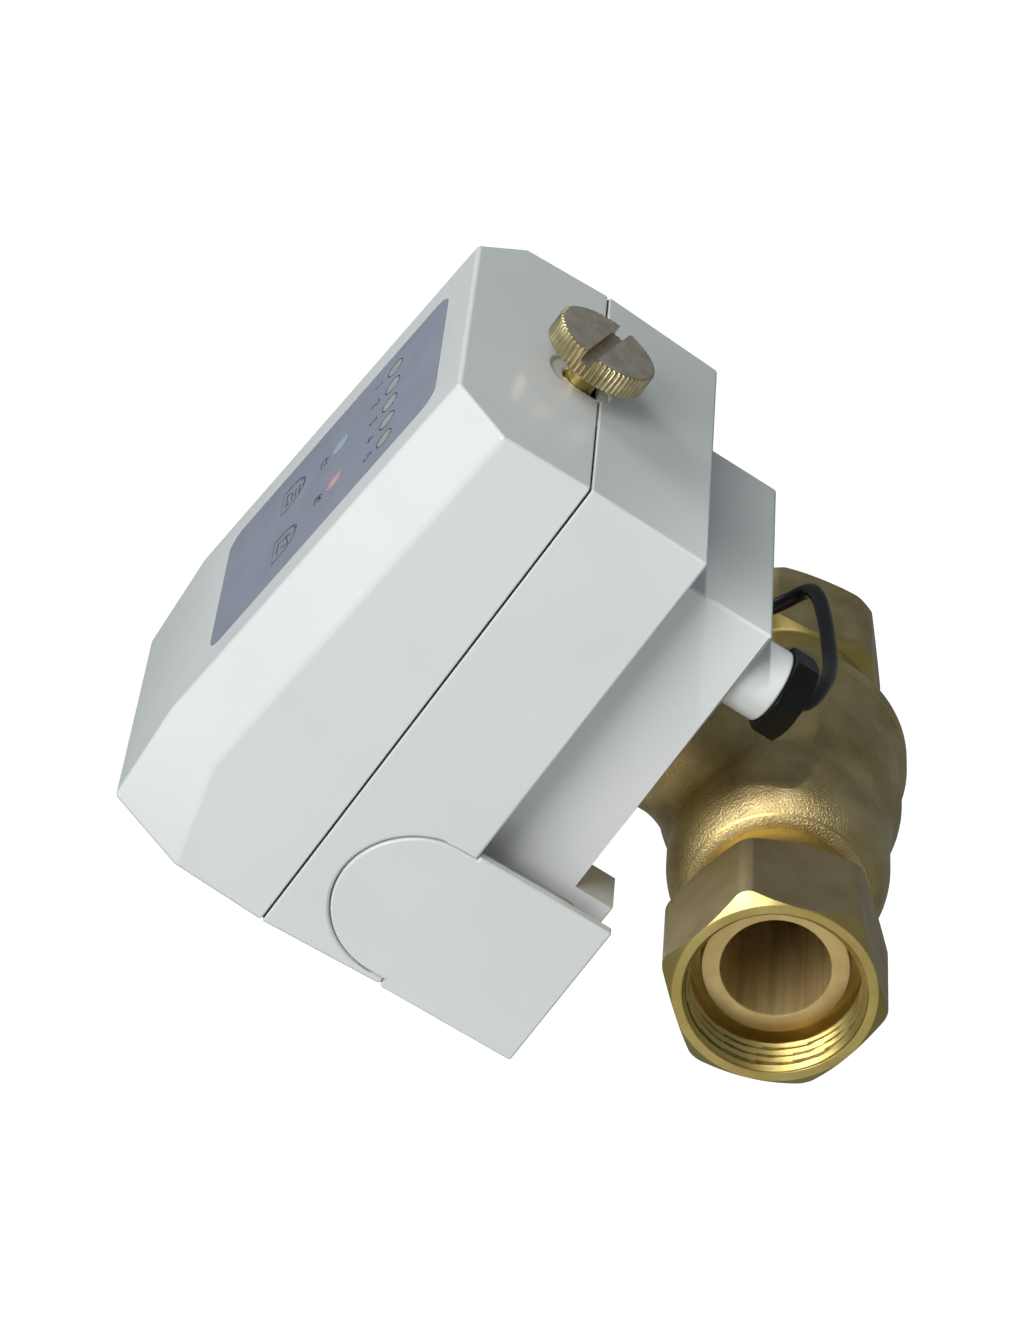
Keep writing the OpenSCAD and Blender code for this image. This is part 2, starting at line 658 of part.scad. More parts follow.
// Steel plate across the opening in the base floor
module gear_plate() color(steel) difference() {
    span_box([-plate_w / 2, plate_y0, plate_z], [plate_w / 2, plate_y1, plate_top]);
    translate([0, 0, plate_z - 1]) cylinder(r = journal_r + run_fit, h = plate_t + 2);
    translate(wheel_at + [0, 0, plate_z - 1]) cylinder(r = axle_r + thread_fit, h = plate_t + 2, $fn = 32);
    translate([motor_x, motor_y, plate_z - 1]) cylinder(r = motor_boss_r + 0.1, h = plate_t + 2);
    for (a = motor_ear_turns) translate([motor_x, motor_y, plate_z - 1]) rotate([0, 0, a])
        translate([motor_ear_off, 0, 0]) cylinder(r = screw_r + thread_fit, h = plate_t + 2, $fn = 32);
    for (x = [-1, 1], y = plate_screw_y) translate([x * plate_screw_x, y, plate_z - 1])
        cylinder(r = screw_r + hole_gap, h = plate_t + 2, $fn = 32);
}

// Screws of the gear plate
module plate_screws() color(steel) for (x = [-1, 1], y = plate_screw_y)
    translate([x * plate_screw_x, y, plate_top]) screw(plate_t + wall + 2);

// Cam that trips the end switches
module limit_cam() color("#2f5f9e") translate([0, 0, cam_z]) difference() {
    union() {
        cylinder(r = journal_r + 2, h = cam_t);
        rotate([0, 0, -20]) linear_extrude(cam_t)
            polygon(concat([[0, 0]], arc([0, 0], switch_x - 0.6, -25, 25, 8)));
    }
    translate([0, 0, -1]) cylinder(r = journal_r + 0.02, h = cam_t + 2);
}

// Two end switches on the gear plate
module limit_switches() color(black) for (side = [-1, 1]) {
    translate([side * (switch_x + 0.9 + switch_w / 2), 0, plate_top + switch_h / 2])
        cube([switch_w, switch_l, switch_h], center = true);
    translate([side * (switch_x + 1), 0, plate_top + 3.4]) along_x()
        cylinder(r = 1, h = 1.4, center = true, $fn = 24);
}

// Outline of the bracket's tongue and plate, in Y and Z, grown by a clearance
module bracket_outline(grow) {
    y_mid = bracket_y1 - tongue_off;
    translate([y_mid, base_z + tongue_rise]) circle(r = tongue_w / 2 + grow);
    translate([y_mid - tongue_w / 2 - grow, base_z - 1]) square([tongue_w + 2 * grow, tongue_rise + 1]);
}

// Slab along one side of the housing, following its slant, between two depths under the surface
module side_slab(side, outer, inner, z0, z1) {
    function at(z, depth) = half_w - (parting_z - z) * draft - depth;
    x = [for (z = [z0, z1]) [at(z, inner), at(z, outer)]];
    low = side > 0 ? x[0] : [-x[0][1], -x[0][0]];
    high = side > 0 ? x[1] : [-x[1][1], -x[1][0]];
    taper_box([low[0], low[1], -half_l - 5, half_l + 5, z0], [high[0], high[1], -half_l - 5, half_l + 5, z1]);
}

// Extrude a Y-Z outline across the whole width
module across_x() rotate([90, 0, 90]) linear_extrude(house_w + 20, center = true) children();

// Lower half of the housing
module base_shell() color(white) difference() {
    union() {
        difference() {
            taper_box([-half_w + base_in, half_w - base_in, -half_l + base_in, half_l - base_in, base_z],
                      [-half_w, half_w, -half_l, half_l, parting_z - parting_gap / 2]);
            taper_box([-half_w + base_in + wall, half_w - base_in - wall,
                       -half_l + base_in + wall, half_l - base_in - wall, base_z + wall],
                      [-half_w + wall, half_w - wall, -half_l + wall, half_l - wall, parting_z + 0.1]);
        }
        for (side = [-1, 1]) intersection() {
            side_slab(side, wall - 0.2, bracket_t + free_gap + 1.6, base_z, parting_z - 4);
            across_x() bracket_outline(2.4);
        }
        span_box([-lug_w / 2, lug_y, base_z + 0.5], [lug_w / 2, lug_y + lug_l, screw_z + insert_r + 1.4]);
        for (x = [-1, 1], y = ear_y) translate([x * ear_x, y, base_z + 0.5])
            cylinder(r = ear_r, h = tray_z - base_z - 0.5);
        for (x = [-1, 1], y = plate_screw_y) translate([x * plate_screw_x, y, base_z - 2])
            cylinder(r = 2.4, h = 2.5);
        for (side = [-1, 1]) along_hinge() translate([0, 0, side * knuckle_x])
            cylinder(r = hinge_r, h = knuckle_l, center = true, $fn = 32);
        for (side = [-1, 1]) translate([side * knuckle_x, half_l - 0.4, parting_z - 3])
            cube([knuckle_l, hinge_r, 5], center = true);
    }
    span_box([-floor_open_x, floor_open_y0, base_z - 1], [floor_open_x, floor_open_y1, base_z + wall + 1]);
    for (side = [-1, 1]) intersection() {
        side_slab(side, -1, bracket_t + free_gap, base_z - 1, parting_z - 2);
        across_x() bracket_outline(free_gap);
    }
    difference() {
        rim_box(groove_in, parting_z - groove_t, parting_z + 1);
        rim_box(groove_in + groove_w, parting_z - 2, parting_z + 2);
        span_box([-lug_w, -half_l, parting_z - 2], [lug_w, -half_l + 4, parting_z + 2]);
    }
    for (x = [-1, 1], y = case_screw_y) translate([x * case_screw_x, y, base_z - 1])
        cylinder(r = screw_r + hole_gap, h = wall + 2, $fn = 32);
    for (x = [-1, 1], y = plate_screw_y) translate([x * plate_screw_x, y, base_z - 3])
        cylinder(r = screw_r + thread_fit, h = wall + 4, $fn = 32);
    for (x = [-1, 1], y = ear_y) translate([x * ear_x, y, tray_z - 6])
        cylinder(r = screw_r + thread_fit, h = 7, $fn = 32);
    translate([0, lug_y - 1, screw_z]) along_y() cylinder(r = insert_r + thread_fit, h = insert_l + 1);
    translate([0, lug_y, screw_z]) along_y() cylinder(r = screw_d / 2 + free_gap, h = lug_l + 1);
    translate([0, -half_l - 1, screw_z]) along_y() cylinder(d = recess_d, h = recess_t + 1);
    along_hinge() cylinder(r = hinge_r + free_gap, h = 2 * hinge_mid, center = true, $fn = 32);
    along_hinge() cylinder(r = hinge_pin_r + 0.02, h = 2 * hinge_end + 1, center = true, $fn = 32);
}

// Screws that hold the gear case under the base
module case_screws() color(steel) for (x = [-1, 1], y = case_screw_y)
    translate([x * case_screw_x, y, base_z + wall]) screw(wall + 7);

// Rubber cord in the groove of the base's rim
module cover_seal() color(black) difference() {
    rim_box(groove_in + seal_gap, parting_z - groove_t + run_fit, parting_z + parting_gap / 2 - run_fit);
    rim_box(groove_in + groove_w - seal_gap, parting_z - 2, parting_z + 2);
    span_box([-lug_w - seal_gap, -half_l, parting_z - 2], [lug_w + seal_gap, -half_l + 4, parting_z + 2]);
    along_hinge() cylinder(r = hinge_r + free_gap + seal_gap, h = 2 * hinge_end + 1, center = true, $fn = 32);
}

// Body of the cover shrunk by an inset: three cross sections joined by flat faces
module cover_form(inset, z0) {
    function section(y, side_h, top_h, end) = let (
        top = top_h - inset,
        edge = side_h - 0.45 * inset,
        y_at = function (h) y - end * (inset + (h + inset) * draft),
        x_at = function (h) half_w - inset - h * draft)
        [[-x_at(0), y_at(z0 - inset), parting_z + z0], [-x_at(edge), y_at(edge), parting_z + edge],
         [-half_w + bevel_w + 0.6 * inset, y_at(top), parting_z + top],
         [half_w - bevel_w - 0.6 * inset, y_at(top), parting_z + top],
         [x_at(edge), y_at(edge), parting_z + edge], [x_at(0), y_at(z0 - inset), parting_z + z0]];
    points = concat(section(-half_l, thumb_side_h, thumb_top_h, -1),
                    section(ridge_y, ridge_side_h, ridge_top_h, 0),
                    section(half_l, hinge_side_h, hinge_top_h, 1));
    faces = concat([[0, 1, 2, 3, 4, 5]], [[17, 16, 15, 14, 13, 12]],
        [for (s = [0, 6], i = [0:5]) let (j = (i + 1) % 6) each
            [[s + i, s + 6 + i, s + 6 + j], [s + i, s + 6 + j, s + j]]]);
    polyhedron(points = points, faces = faces);
}

// Outline of a key in the panel: flat towards the hinge, round towards the thumbscrew
module key_outline(grow) {
    r = key_w / 2 + grow;
    translate([0, -key_l / 2 + key_w / 2]) intersection() {
        circle(r = r);
        translate([-r, -r]) square([2 * r, r]);
    }
    translate([-r, -key_l / 2 + key_w / 2 - eps]) square([2 * r, key_l - key_w / 2 + grow + eps]);
}

// Outline of the panel film with rounded corners
module film_outline(grow) {
    r = 4;
    w = film_w / 2 + grow;
    union() {
        translate([-w + r, film_y0 - grow]) square([2 * w - 2 * r, film_l + 2 * grow]);
        translate([-w, film_y0 - grow + r]) square([2 * w, film_l + 2 * grow - 2 * r]);
        for (x = [-1, 1], y = [film_y0 - grow + r, film_y0 + film_l + grow - r])
            translate([x * (w - r), y]) circle(r = r);
    }
}

// Upper half of the housing
module cover_shell() color(white) difference() {
    union() {
        difference() {
            cover_form(0, parting_gap / 2);
            cover_form(wall, -1);
        }
        on_panel() for (x = [-1, 1], y = post_y) translate([x * post_x, y, board_top])
            cylinder(r = post_r, h = -board_top - wall / 2, $fn = 32);
        along_hinge() cylinder(r = hinge_r, h = 2 * hinge_mid - knuckle_gap, center = true, $fn = 32);
        translate([0, half_l - 0.4, parting_z + 3])
            cube([2 * hinge_mid - knuckle_gap, hinge_r, 5], center = true);
    }
    on_panel() {
        translate([0, 0, -film_t]) linear_extrude(film_t + 5) film_outline(film_gap);
        for (p = window_places) translate([p[0], p[1], -wall - 1])
            cylinder(d = window_d, h = wall + 2, $fn = 32);
        for (p = key_places) translate([p[0], p[1], -wall - 1])
            linear_extrude(wall + 2) key_outline(film_gap);
        for (x = [-1, 1], y = post_y) translate([x * post_x, y, board_top - 1])
            cylinder(r = screw_r + thread_fit, h = 5.5, $fn = 32);
    }
    translate([0, -half_l - 1, screw_z]) along_y() cylinder(d = recess_d, h = recess_t + 1);
    translate([0, -half_l - 1, screw_z]) along_y() cylinder(r = screw_d / 2 + free_gap, h = wall + 3);
    span_box([-screw_d / 2 - free_gap, -half_l - 1, parting_z - 1],
             [screw_d / 2 + free_gap, -half_l + wall + 2, screw_z]);
    for (side = [-1, 1]) along_hinge() translate([0, 0, side * knuckle_x])
        cylinder(r = hinge_r + free_gap, h = knuckle_l + 2 * knuckle_gap, center = true, $fn = 32);
    along_hinge() cylinder(r = hinge_pin_r + 0.06, h = 2 * hinge_end + 1, center = true, $fn = 32);
}

// Steel pin of the cover hinge
module hinge_pin() color(steel) along_hinge()
    cylinder(r = hinge_pin_r, h = 2 * hinge_end - 0.6, center = true, $fn = 32);

// Grey film on the panel, pierced for the windows and keys
module panel_film() color(panel_grey) on_panel() translate([0, 0, -film_t]) linear_extrude(film_t)
    difference() {
        film_outline(0);
        for (p = window_places) translate(p) circle(d = window_d, $fn = 32);
        for (p = key_places) translate(p) key_outline(film_gap);
    }

// Light window through the film and the cover
module window() {
    translate([0, 0, window_foot]) cylinder(d = window_d - 2 * run_fit, h = -window_foot, $fn = 32);
    translate([0, 0, window_foot]) cylinder(d = window_d + 1.2, h = 1.3, $fn = 32);
}
module zone_windows() color("#c9cbc8") on_panel() for (p = zone_places) translate(p) window();
module open_window() color("#7fa6d6") on_panel() translate(open_place) window();
module shut_window() color("#d68a8a") on_panel() translate(shut_place) window();

// Key in the panel with its retaining flange
module key() {
    translate([0, 0, key_foot]) linear_extrude(-key_foot) key_outline(0);
    translate([0, 0, key_foot]) linear_extrude(key_flange_t) key_outline(key_flange);
}
module open_key() color(panel_grey) on_panel() translate(open_key_place) key();
module shut_key() color(panel_grey) on_panel() translate(shut_key_place) key();

// Circuit board on the posts of the cover
module control_board() color("#1f6b3a") on_panel() difference() {
    translate([-board_w / 2, board_y0, board_top - board_t]) cube([board_w, board_l, board_t]);
    for (x = [-1, 1], y = post_y) translate([x * post_x, y, board_top - board_t - 1])
        cylinder(r = screw_r + hole_gap, h = board_t + 2, $fn = 32);
}

// Light-emitting diodes under the windows
module indicator_leds() color("#f4f4f0") on_panel() for (p = window_places)
    translate([p[0], p[1], board_top]) cylinder(r = led_r, h = window_foot - free_gap - board_top, $fn = 24);

// Tact switches under the keys
module tact_switch() {
    w = 6;
    translate([-w / 2, -w / 2, 0]) cube([w, w, plunger_top - 0.7 - board_top]);
    cylinder(r = 1.7, h = plunger_top - board_top, $fn = 24);
}
module key_switches() color(black) on_panel() for (p = key_places)
    translate([p[0], p[1], board_top]) tact_switch();

// Screws of the circuit board, from below
module board_screws() color(steel) on_panel() for (x = [-1, 1], y = post_y)
    translate([x * post_x, y, board_top - board_t]) rotate([180, 0, 0]) screw(board_t + 4);

// Tray that holds the cells above the drive
module battery_tray() color(black) difference() {
    union() {
        difference() {
            span_box([-tray_x, tray_y0, tray_z], [tray_x, tray_y1, tray_z + tray_h]);
            span_box([-tray_x + tray_wall, tray_y0 + tray_wall, tray_z + tray_wall],
                     [tray_x - tray_wall, tray_y1 - tray_wall, tray_z + tray_h + 1]);
        }
        for (x = [-1, 1], y = ear_y) translate([x * ear_x, y, tray_z]) cylinder(r = ear_r, h = ear_t);
    }
    for (x = [-1, 1], y = ear_y) translate([x * ear_x, y, tray_z - 1])
        cylinder(r = screw_r + hole_gap, h = 5, $fn = 32);
}

// Screws of the tray
module tray_screws() color(steel) for (x = [-1, 1], y = ear_y)
    translate([x * ear_x, y, tray_z + ear_t]) screw(7);

// Cells side by side across the housing
module battery_cells() color("#3b7d4f") for (i = [0:cell_count - 1]) translate([0, cell_y[i], cell_z])
    rotate([0, 0, 180 * i]) along_x() {
        translate([0, 0, -cell_l / 2]) cylinder(d = cell_d, h = cell_l - 1);
        translate([0, 0, cell_l / 2 - 2]) cylinder(d = 5, h = 2, $fn = 32);
    }

// Nickel contact plates at both ends of the cells
module battery_contacts() color(steel) for (i = [0:cell_count - 1], side = [-1, 1])
    translate([side * (cell_l / 2 + 0.15 + contact_t / 2), cell_y[i], cell_z])
        cube([contact_t, contact_w, contact_w], center = true);

// Knurled slotted screw that holds the cover shut
module thumbscrew() color(turned_brass) translate([0, 0, screw_z]) difference() {
    union() {
        translate([0, head_back - head_t, 0]) along_y() linear_extrude(head_t) knurl_outline();
        translate([0, head_back - 1, 0]) along_y()
            cylinder(r = screw_d / 2, h = screw_tip - head_back + 1, $fn = 48);
    }
    translate([0, head_back - head_t, 0]) rotate([0, slot_turn, 0])
        cube([head_d + 2, 2 * slot_depth, slot_w], center = true);
}

// Ribbed outline of the head: each rib rises from its root to a flat crest
module knurl_outline() {
    rib = [[0, rib_depth], [0.3, 0], [0.7, 0]];
    polygon([for (i = [0:ribs - 1], c = rib) let (a = (i + c[0]) * 360 / ribs, r = head_d / 2 - c[1])
        [r * cos(a), r * sin(a)]]);
}

// Washer held under the head of the thumbscrew
module thumbscrew_washer() color(turned_brass) translate([0, head_back + run_fit, screw_z]) along_y()
    difference() {
        cylinder(r = screw_d / 2 + 1.3, h = washer_t, $fn = 48);
        translate([0, 0, -1]) cylinder(r = screw_d / 2 + run_fit, h = washer_t + 2, $fn = 48);
    }

// Threaded brass insert in the base
module thumbscrew_insert() color(turned_brass) translate([0, lug_y, screw_z]) along_y() difference() {
    cylinder(r = insert_r, h = insert_l, $fn = 48);
    translate([0, 0, -1]) cylinder(r = screw_d / 2 + run_fit, h = insert_l + 2, $fn = 48);
}

// Clip with round-topped tongues in the base's sides and plates that hang beside the gear case
module side_bracket() color(white) {
    for (side = [-1, 1]) {
        intersection() {
            side_slab(side, 0, bracket_t, base_z - bracket_h, parting_z - 2);
            across_x() {
                bracket_outline(0);
                translate([bracket_y0, base_z - bracket_h]) square([bracket_w, bracket_h - 0.2]);
            }
        }
        intersection() {
            side_slab(side, bracket_t - eps, bracket_t + pad_t, base_z - bracket_h, base_z);
            across_x() hull() {
                translate([bracket_y0 + 4, base_z - bracket_h + 9]) circle(r = 3, $fn = 32);
                translate([bracket_y1 - 4, base_z - bracket_h + 9]) circle(r = 3, $fn = 32);
                translate([bracket_y0 + 1, base_z - 1.2]) square([bracket_w - 1.4, 1]);
            }
        }
    }
    web_x = half_w - (base_h + bracket_h) * draft - bracket_t;
    span_box([-web_x, bracket_y1 - 3, base_z - bracket_h + 6], [web_x, bracket_y1 - 0.4, base_z - 0.2]);
}

// Hexagon nut of the cable gland
module cable_gland_nut() color(black) translate([boss_x, boss_y, gland_end]) difference() {
    union() {
        rotate([0, 0, 12]) cylinder(d = gland_af / cos(30), h = gland_t, $fn = 6);
        translate([0, 0, gland_t - eps]) cylinder(r = spigot_r, h = spigot_l, $fn = 48);
    }
    translate([0, 0, -1]) cylinder(r = lead_d / 2 + lead_gap, h = gland_t + spigot_l + 2, $fn = 32);
}

// Rubber seal squeezed behind the gland nut
module gland_seal() color(rubber) translate([boss_x, boss_y, boss_end + spigot_l])
    cylinder(r = spigot_r - 0.1, h = seal_t, $fn = 48);

// Rubber grommet where the lead goes back into the gear case
module lead_grommet() color(rubber) translate([grommet_x, grommet_y, case_z]) {
    translate([0, 0, -grommet_t]) cylinder(r = grommet_r, h = grommet_t, $fn = 48);
    cylinder(r = grommet_plug_r, h = case_floor_t, $fn = 48);
}

// Sweep a round tube along points, with the rings carried from one direction to the next
function unit(v) = v / norm(v);
function tangent(p, i) = unit(p[min(i + 1, len(p) - 1)] - p[max(i - 1, 0)]);
function carried(v, t) = unit(v - t * (v * t));
function frames(p, i, side) = i == len(p) ? [] :
    let (t = tangent(p, i), u = carried(side, t)) concat([[p[i], u, cross(t, u)]], frames(p, i + 1, u));
module tube(path, r, sides) {
    rings = frames(path, 0, [1, 0.2, 0]);
    n = len(rings);
    points = [for (f = rings, k = [0:sides - 1]) let (a = 360 * k / sides)
        f[0] + r * (cos(a) * f[1] + sin(a) * f[2])];
    polyhedron(points = points, faces = concat(
        [[for (k = [0:sides - 1]) sides - 1 - k]], [[for (k = [0:sides - 1]) (n - 1) * sides + k]],
        [for (i = [0:n - 2], k = [0:sides - 1]) let (j = (k + 1) % sides) each
            [[i * sides + k, i * sides + j, (i + 1) * sides + j],
             [i * sides + k, (i + 1) * sides + j, (i + 1) * sides + k]]]));
}

// Lead from the gland to the grommet
module sensor_lead() color(black) tube(lead_route, lead_d / 2, lead_sides);

valve_body();
end_cap();
tailpiece();
union_nut();
ball();
seat_rings();
body_o_ring();
stem();
stem_o_rings();
neck_lock_nut();
gear_case();
drive_coupling();
output_gear();
reduction_wheel();
wheel_axle();
motor_pinion();
motor();
motor_screws();
gear_plate();
plate_screws();
limit_cam();
limit_switches();
base_shell();
case_screws();
cover_seal();
cover_shell();
hinge_pin();
panel_film();
zone_windows();
open_window();
shut_window();
open_key();
shut_key();
control_board();
indicator_leds();
key_switches();
board_screws();
battery_tray();
tray_screws();
battery_cells();
battery_contacts();
thumbscrew();
thumbscrew_washer();
thumbscrew_insert();
side_bracket();
cable_gland_nut();
gland_seal();
lead_grommet();
sensor_lead();
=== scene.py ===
import math

import bmesh
import bpy
from mathutils import Matrix, Vector
from mathutils.bvhtree import BVHTree


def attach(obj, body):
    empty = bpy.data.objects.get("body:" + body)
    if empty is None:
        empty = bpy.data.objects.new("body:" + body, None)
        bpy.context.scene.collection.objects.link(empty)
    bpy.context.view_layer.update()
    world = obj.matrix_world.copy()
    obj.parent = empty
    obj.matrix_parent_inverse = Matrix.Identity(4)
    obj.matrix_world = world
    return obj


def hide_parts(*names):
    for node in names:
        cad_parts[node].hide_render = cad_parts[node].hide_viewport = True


# Motor-driven ball valve in its CAD frame: the pipe runs along X, the stem along Z and the cover's hinge
# lies at +Y. Sizes below are millimetres, and MM turns them into Blender's metres.
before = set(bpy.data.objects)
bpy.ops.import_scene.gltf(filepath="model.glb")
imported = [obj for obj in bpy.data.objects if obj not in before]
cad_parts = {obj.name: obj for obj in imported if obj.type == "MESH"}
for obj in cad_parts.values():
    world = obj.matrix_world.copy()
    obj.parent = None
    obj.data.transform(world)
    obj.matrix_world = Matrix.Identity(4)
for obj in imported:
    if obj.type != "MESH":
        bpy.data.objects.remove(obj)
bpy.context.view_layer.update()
MM = 0.001

# Camera
# A long lens looks along the pipe from the union end, a little from above. It is rolled, so that the
# housing leans to the left of the picture and the valve hangs at the right.
focal_px = 5524
picture_w = 1024
sensor_w = 36
eye = Vector((-888.0, -430.6, 288.3)) * MM
ahead = Vector((0.8772, 0.4236, -0.2259)).normalized()
right = Vector((0.0531, -0.5534, -0.8312))
right = (right - right.dot(ahead) * ahead).normalized()
up = right.cross(ahead)
lens = bpy.data.cameras.new("Camera")
lens.sensor_fit = "HORIZONTAL"
lens.sensor_width = sensor_w
lens.lens = focal_px / picture_w * sensor_w
lens.shift_x = -6 / picture_w
lens.shift_y = -18 / picture_w
lens.clip_end = 100
camera = bpy.data.objects.new("Camera", lens)
camera.matrix_world = Matrix.Translation(eye) @ Matrix((right, up, -ahead)).transposed().to_4x4()
bpy.context.scene.collection.objects.link(camera)
bpy.context.scene.camera = camera

# Sensor lead
# Thin lead with a black PVC jacket, drawn through a die. It comes out of the gland, sags in one loop under
# the gear case and goes back into the case through a rubber grommet.
lead_d = 2.9
lead_route = [
    (-20, -30.5, 25.5), (-20, -30.5, 20), (-20, -30.5, 17.8), (-19.6, -30.7, 16.2), (-18.4, -31.1, 15.1),
    (-16.6, -31.6, 14.2), (-13.8, -32.2, 13.3), (-11, -32.5, 12.6), (-8, -32.5, 11.9), (-3, -32.3, 11.3),
    (2, -32.3, 11.4), (7, -32.4, 11.9), (12, -32.6, 12.6), (16.5, -32.7, 13.4), (20.5, -32.5, 14.2),
    (23.4, -31.6, 15), (25.1, -29.6, 15.7), (25.6, -27.1, 16.6), (25.4, -24.7, 17.9), (24.7, -22.4, 19.6),
    (23.7, -19.6, 21.8), (22.9, -17.4, 24), (22.5, -16, 26.6), (22.5, -16, 28.6)]


def srgb(code):
    """Turn an sRGB hex colour into linear red, green, blue and alpha."""
    parts = [int(code[i:i + 2], 16) / 255 for i in (1, 3, 5)]
    return [p / 12.92 if p <= 0.04045 else ((p + 0.055) / 1.055) ** 2.4 for p in parts] + [1.0]


def add(tree, kind, takes=None, gives=None, stops=(), **settings):
    """Add one shader node: its settings, what its sockets take and where its outputs go."""
    node = tree.nodes.new("ShaderNode" + kind)
    for name, value in settings.items():
        setattr(node, name, value)
    for name, value in (takes or {}).items():
        if isinstance(value, bpy.types.NodeSocket):
            tree.links.new(value, node.inputs[name])
        else:
            node.inputs[name].default_value = value
    for name, socket in (gives or {}).items():
        tree.links.new(node.outputs[name], socket)
    for number, (position, code) in enumerate(stops):
        if number == len(node.color_ramp.elements):
            node.color_ramp.elements.new(position)
        node.color_ramp.elements[number].position = position
        node.color_ramp.elements[number].color = srgb(code)
    return node


def material(name, sockets):
    """Start a material with these values on its shader's own sockets."""
    made = bpy.data.materials.new(name)
    made.use_nodes = True
    shader = made.node_tree.nodes["Principled BSDF"]
    for socket, value in sockets.items():
        shader.inputs[socket].default_value = value
    return made, made.node_tree, shader


# Extruded PVC: black with a dull sheen that the die's fine lines break up.
lead_pvc, tree, surface = material("extruded_pvc_black", {"Roughness": 0.3, "IOR": 1.53})
spot = add(tree, "TexCoord").outputs["Object"]
cloud = add(tree, "TexNoise", {"Vector": spot, "Scale": 1000 / 3, "Detail": 3})
add(tree, "ValToRGB", {"Fac": cloud.outputs["Fac"]}, {"Color": surface.inputs["Base Color"]},
    stops=((0.35, "#040407"), (0.65, "#09090f")))
grit = add(tree, "TexNoise", {"Vector": spot, "Scale": 1000 / 0.35, "Detail": 2})
add(tree, "Bump", {"Height": grit.outputs["Fac"], "Strength": 0.3, "Distance": 0.02 * MM},
    {"Normal": surface.inputs["Normal"]})

wire = bpy.data.curves.new("sensor_lead_jacket", "CURVE")
wire.dimensions = "3D"
wire.bevel_depth = lead_d / 2 * MM
wire.bevel_resolution = 5
wire.resolution_u = 6
wire.use_fill_caps = True
run = wire.splines.new("BEZIER")
run.bezier_points.add(len(lead_route) - 1)
for knot, point in zip(run.bezier_points, lead_route):
    knot.co = Vector(point) * MM
    knot.handle_left_type = "AUTO"
    knot.handle_right_type = "AUTO"
wire.materials.append(lead_pvc)
lead = bpy.data.objects.new("sensor_lead_jacket", wire)
bpy.context.scene.collection.objects.link(lead)
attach(lead, "valve")
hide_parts("sensor_lead")

# Valve body
# Sand-cast brass barrel with the ball chamber, the rim and the neck in one casting, shot-blasted and then
# turned at the collar behind the union nut. The neck goes up through the floor of the gear case.
bore_r = 9.75
socket_r = 11.4
socket_end = -22
seat_x = -15.5
chamber_r = 17
collar_r = 14.6
collar_x = -37
dome_x = -30.2
dome_l = 10.2
barrel_r = 20.5
flare_x = -9
flare_l = 12.2
belly_r = 22.75
step_x = 10.5
step_l = 6
body_r = 23.8
rim_line_r = 23.4
body_end = 20
body_outline = [(socket_r, collar_x), (collar_r - 0.4, collar_x), (collar_r, collar_x + 0.4),
                (collar_r, dome_x - 0.3)]
for step in range(25):
    a = math.pi / 2 * step / 24
    body_outline.append((collar_r + (barrel_r - collar_r) * math.sin(a), dome_x + dome_l * (1 - math.cos(a))))
for step in range(17):
    u = step / 16
    body_outline.append((barrel_r + (belly_r - barrel_r) * u * u * (3 - 2 * u), flare_x + flare_l * u))
for step in range(9):
    u = step / 8
    body_outline.append((belly_r + (body_r - belly_r) * u * u, step_x + step_l * u))
body_outline += [
    (rim_line_r, 16.75), (rim_line_r, 17), (body_r, 17.25), (body_r, body_end), (chamber_r, body_end),
    (chamber_r, seat_x), (bore_r, seat_x), (bore_r, socket_end), (socket_r, socket_end)]
neck_r = 12.6
neck_top = 30.8
neck_thread_r = 10
neck_thread_top = 38
stem_hole_r = 6.05
fillet = 5.5
fillet_lap = 0.05


def turned(outline, steps=144, wave=None):
    """Turn a closed outline of radius and place along the pipe; wave may change a radius with the angle."""
    bm = bmesh.new()
    rings = []
    for radius, x in outline:
        ring = []
        for k in range(steps):
            a = 2 * math.pi * k / steps
            r = wave(radius, x, a) if wave else radius
            ring.append(bm.verts.new(Vector((x, r * math.cos(a), r * math.sin(a))) * MM))
        rings.append(ring)
    for one, two in zip(rings, rings[1:] + rings[:1]):
        for k in range(steps):
            n = (k + 1) % steps
            bm.faces.new((one[k], one[n], two[n], two[k]))
    bmesh.ops.recalc_face_normals(bm, faces=bm.faces[:])
    return bm


def piece(name, bm, finishes, body, slot, *nodes):
    """Make the object of a mesh, with its finishes, riding on its body in the place of its CAD nodes."""
    mesh = bpy.data.meshes.new(name)
    bm.to_mesh(mesh)
    bm.free()
    for finish in finishes:
        mesh.materials.append(finish)
    mesh.shade_smooth()
    mesh.set_sharp_from_angle(angle=math.radians(34))
    made = bpy.data.objects.new(name, mesh)
    bpy.context.scene.collection.objects.link(made)
    made.modifiers.new("Level faces", "WEIGHTED_NORMAL").keep_sharp = True
    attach(made, body)
    if nodes:
        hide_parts(*nodes)
    return made


def barrel_radius(x):
    """Outside radius of the cast body at a place along the pipe."""
    for (r0, x0), (r1, x1) in zip(body_outline[2:], body_outline[3:]):
        if x0 <= x <= x1:
            return r0 + (r1 - r0) * (x - x0) / max(x1 - x0, 1e-6)
    return body_outline[2][0]


